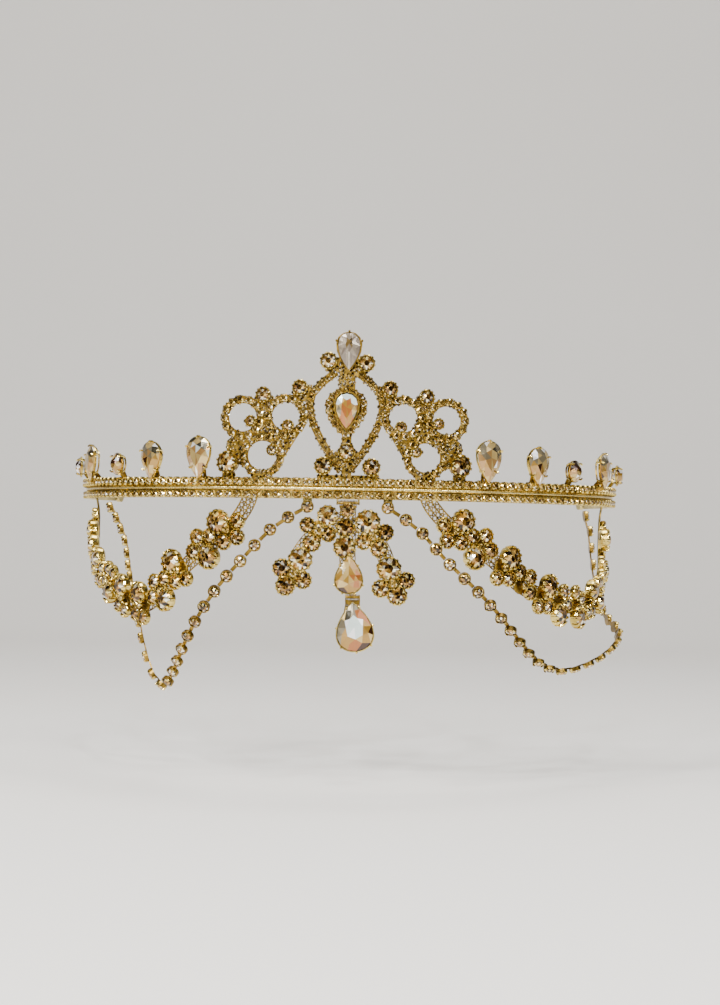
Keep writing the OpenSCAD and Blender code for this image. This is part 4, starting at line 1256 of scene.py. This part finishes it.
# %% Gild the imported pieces
for node, material in (("crest_frame", shaded_cast_gold), ("chain_links_l", bar_gold), ("chain_links_r", bar_gold)):
    NODES[node].data.materials.clear()
    NODES[node].data.materials.append(material)
plates = []
for node in ("chain_stones_l", "chain_stones_r"):
    first = min(PLACES[node], key=lambda place: abs(place[0].x))[0] / MM
    print(node, "starts at", [round(v, 2) for v in first])
    base = first.y * (1 - 1.2 / math.hypot(first.x, first.y))
    plates.append(box_part((first.x - 1.2, base - 0.2, first.z + 0.8), (first.x + 1.2, base + 0.3, 0.3)))
metal_piece("chain_plates", plates, TIARA, smooth_gold)

# %% [markdown]
# ## Floor and light
# A plain pale sheet runs under the tiara and curves up behind it. A large soft light from the
# upper left gives the main shapes, a weaker one fills the right, and small lamps make the
# stones sparkle. The metal mirrors a dark room, which gives it depth, and the eye sees a pale
# surround beyond the sheet.

# %% Lay the floor
FLOOR, BEND, BACK = -0.078, 0.5, 0.75
PAPER = "e9e5df"
profile = [(-2.0, FLOOR), (BACK, FLOOR)]
profile += [(BACK + BEND * math.sin(a), FLOOR + BEND * (1 - math.cos(a)))
            for a in [math.radians(d) for d in range(5, 91, 5)]]
profile.append((BACK + BEND, 2.5))
sheet = linked("backdrop", mesh_of("backdrop", [(x, y, z) for y, z in profile for x in (-2.5, 2.5)], [
    (2 * i, 2 * i + 1, 2 * i + 3, 2 * i + 2) for i in range(len(profile) - 1)], outwards=False))
for polygon in sheet.data.polygons:
    polygon.use_smooth = True
paper, paper_tree, paper_shader = new_material("pale paper")
cloud = noise(paper_tree, place_on(paper_tree), 3.0)
feed(paper_tree, paper_shader, {
    "Base Color": ramp(paper_tree, cloud, [(0.0, PAPER), (1.0, "efece7")]), "Roughness": 0.9})
sheet.data.materials.append(paper)
print("floor at", FLOOR)

# %% Hang the lights
def lamp(name, place, size, power, colour=(1, 1, 1), target=(0, -0.03, 0)):
    """A square soft light that looks at the tiara."""
    data = bpy.data.lights.new(name, "AREA")
    data.size = size
    data.energy = power
    data.color = colour
    aim = (Vector(target) - Vector(place)).to_track_quat("-Z", "Y")
    linked(name, data).matrix_world = Matrix.Translation(place) @ aim.to_matrix().to_4x4()


lamp("key", (-0.5, -0.8, 0.6), 0.22, 10, (1, 0.98, 0.94))
lamp("fill", (0.8, -0.6, 0.55), 0.4, 1.3, (0.97, 0.98, 1))
lamp("top", (0.1, 0.0, 0.8), 0.35, 3.0)
for number, place in enumerate([(-0.22, -0.9, 0.36), (0.3, -0.85, 0.42), (-0.7, -0.55, 0.42),
                                (0.05, -0.8, 0.75), (0.62, -0.7, 0.34), (-0.05, -0.9, 0.34)]):
    lamp(f"spark {number}", place, 0.03, 2.4)
lamp("paper", (0, 0.35, 1.7), 1.4, 17, target=(0, 1.0, 0.1))

world = bpy.data.worlds.new("studio")
bpy.context.scene.world = world
world.use_nodes = True
sky, room = world.node_tree, world.node_tree.nodes["Background"]
direction = sky.nodes.new("ShaderNodeTexCoord").outputs["Generated"]
height = add_node(sky, "ShaderNodeSeparateXYZ", {0: direction}).outputs["Z"]
feed(sky, room, {"Strength": 0.18, "Color": ramp(sky, stretched(sky, height, -1.0, 1.0), [
    (0.0, "3a342e"), (0.45, "1a1816"), (0.6, "5c5854"), (1.0, "d8d6d2")])})
surround = add_node(sky, "ShaderNodeBackground", {"Color": linear(PAPER), "Strength": 0.85})
is_eye = sky.nodes.new("ShaderNodeLightPath").outputs["Is Camera Ray"]
seen = add_node(sky, "ShaderNodeMixShader", {"Fac": is_eye, 1: room.outputs[0], 2: surround.outputs[0]})
feed(sky, sky.nodes["World Output"], {"Surface": seen.outputs[0]})
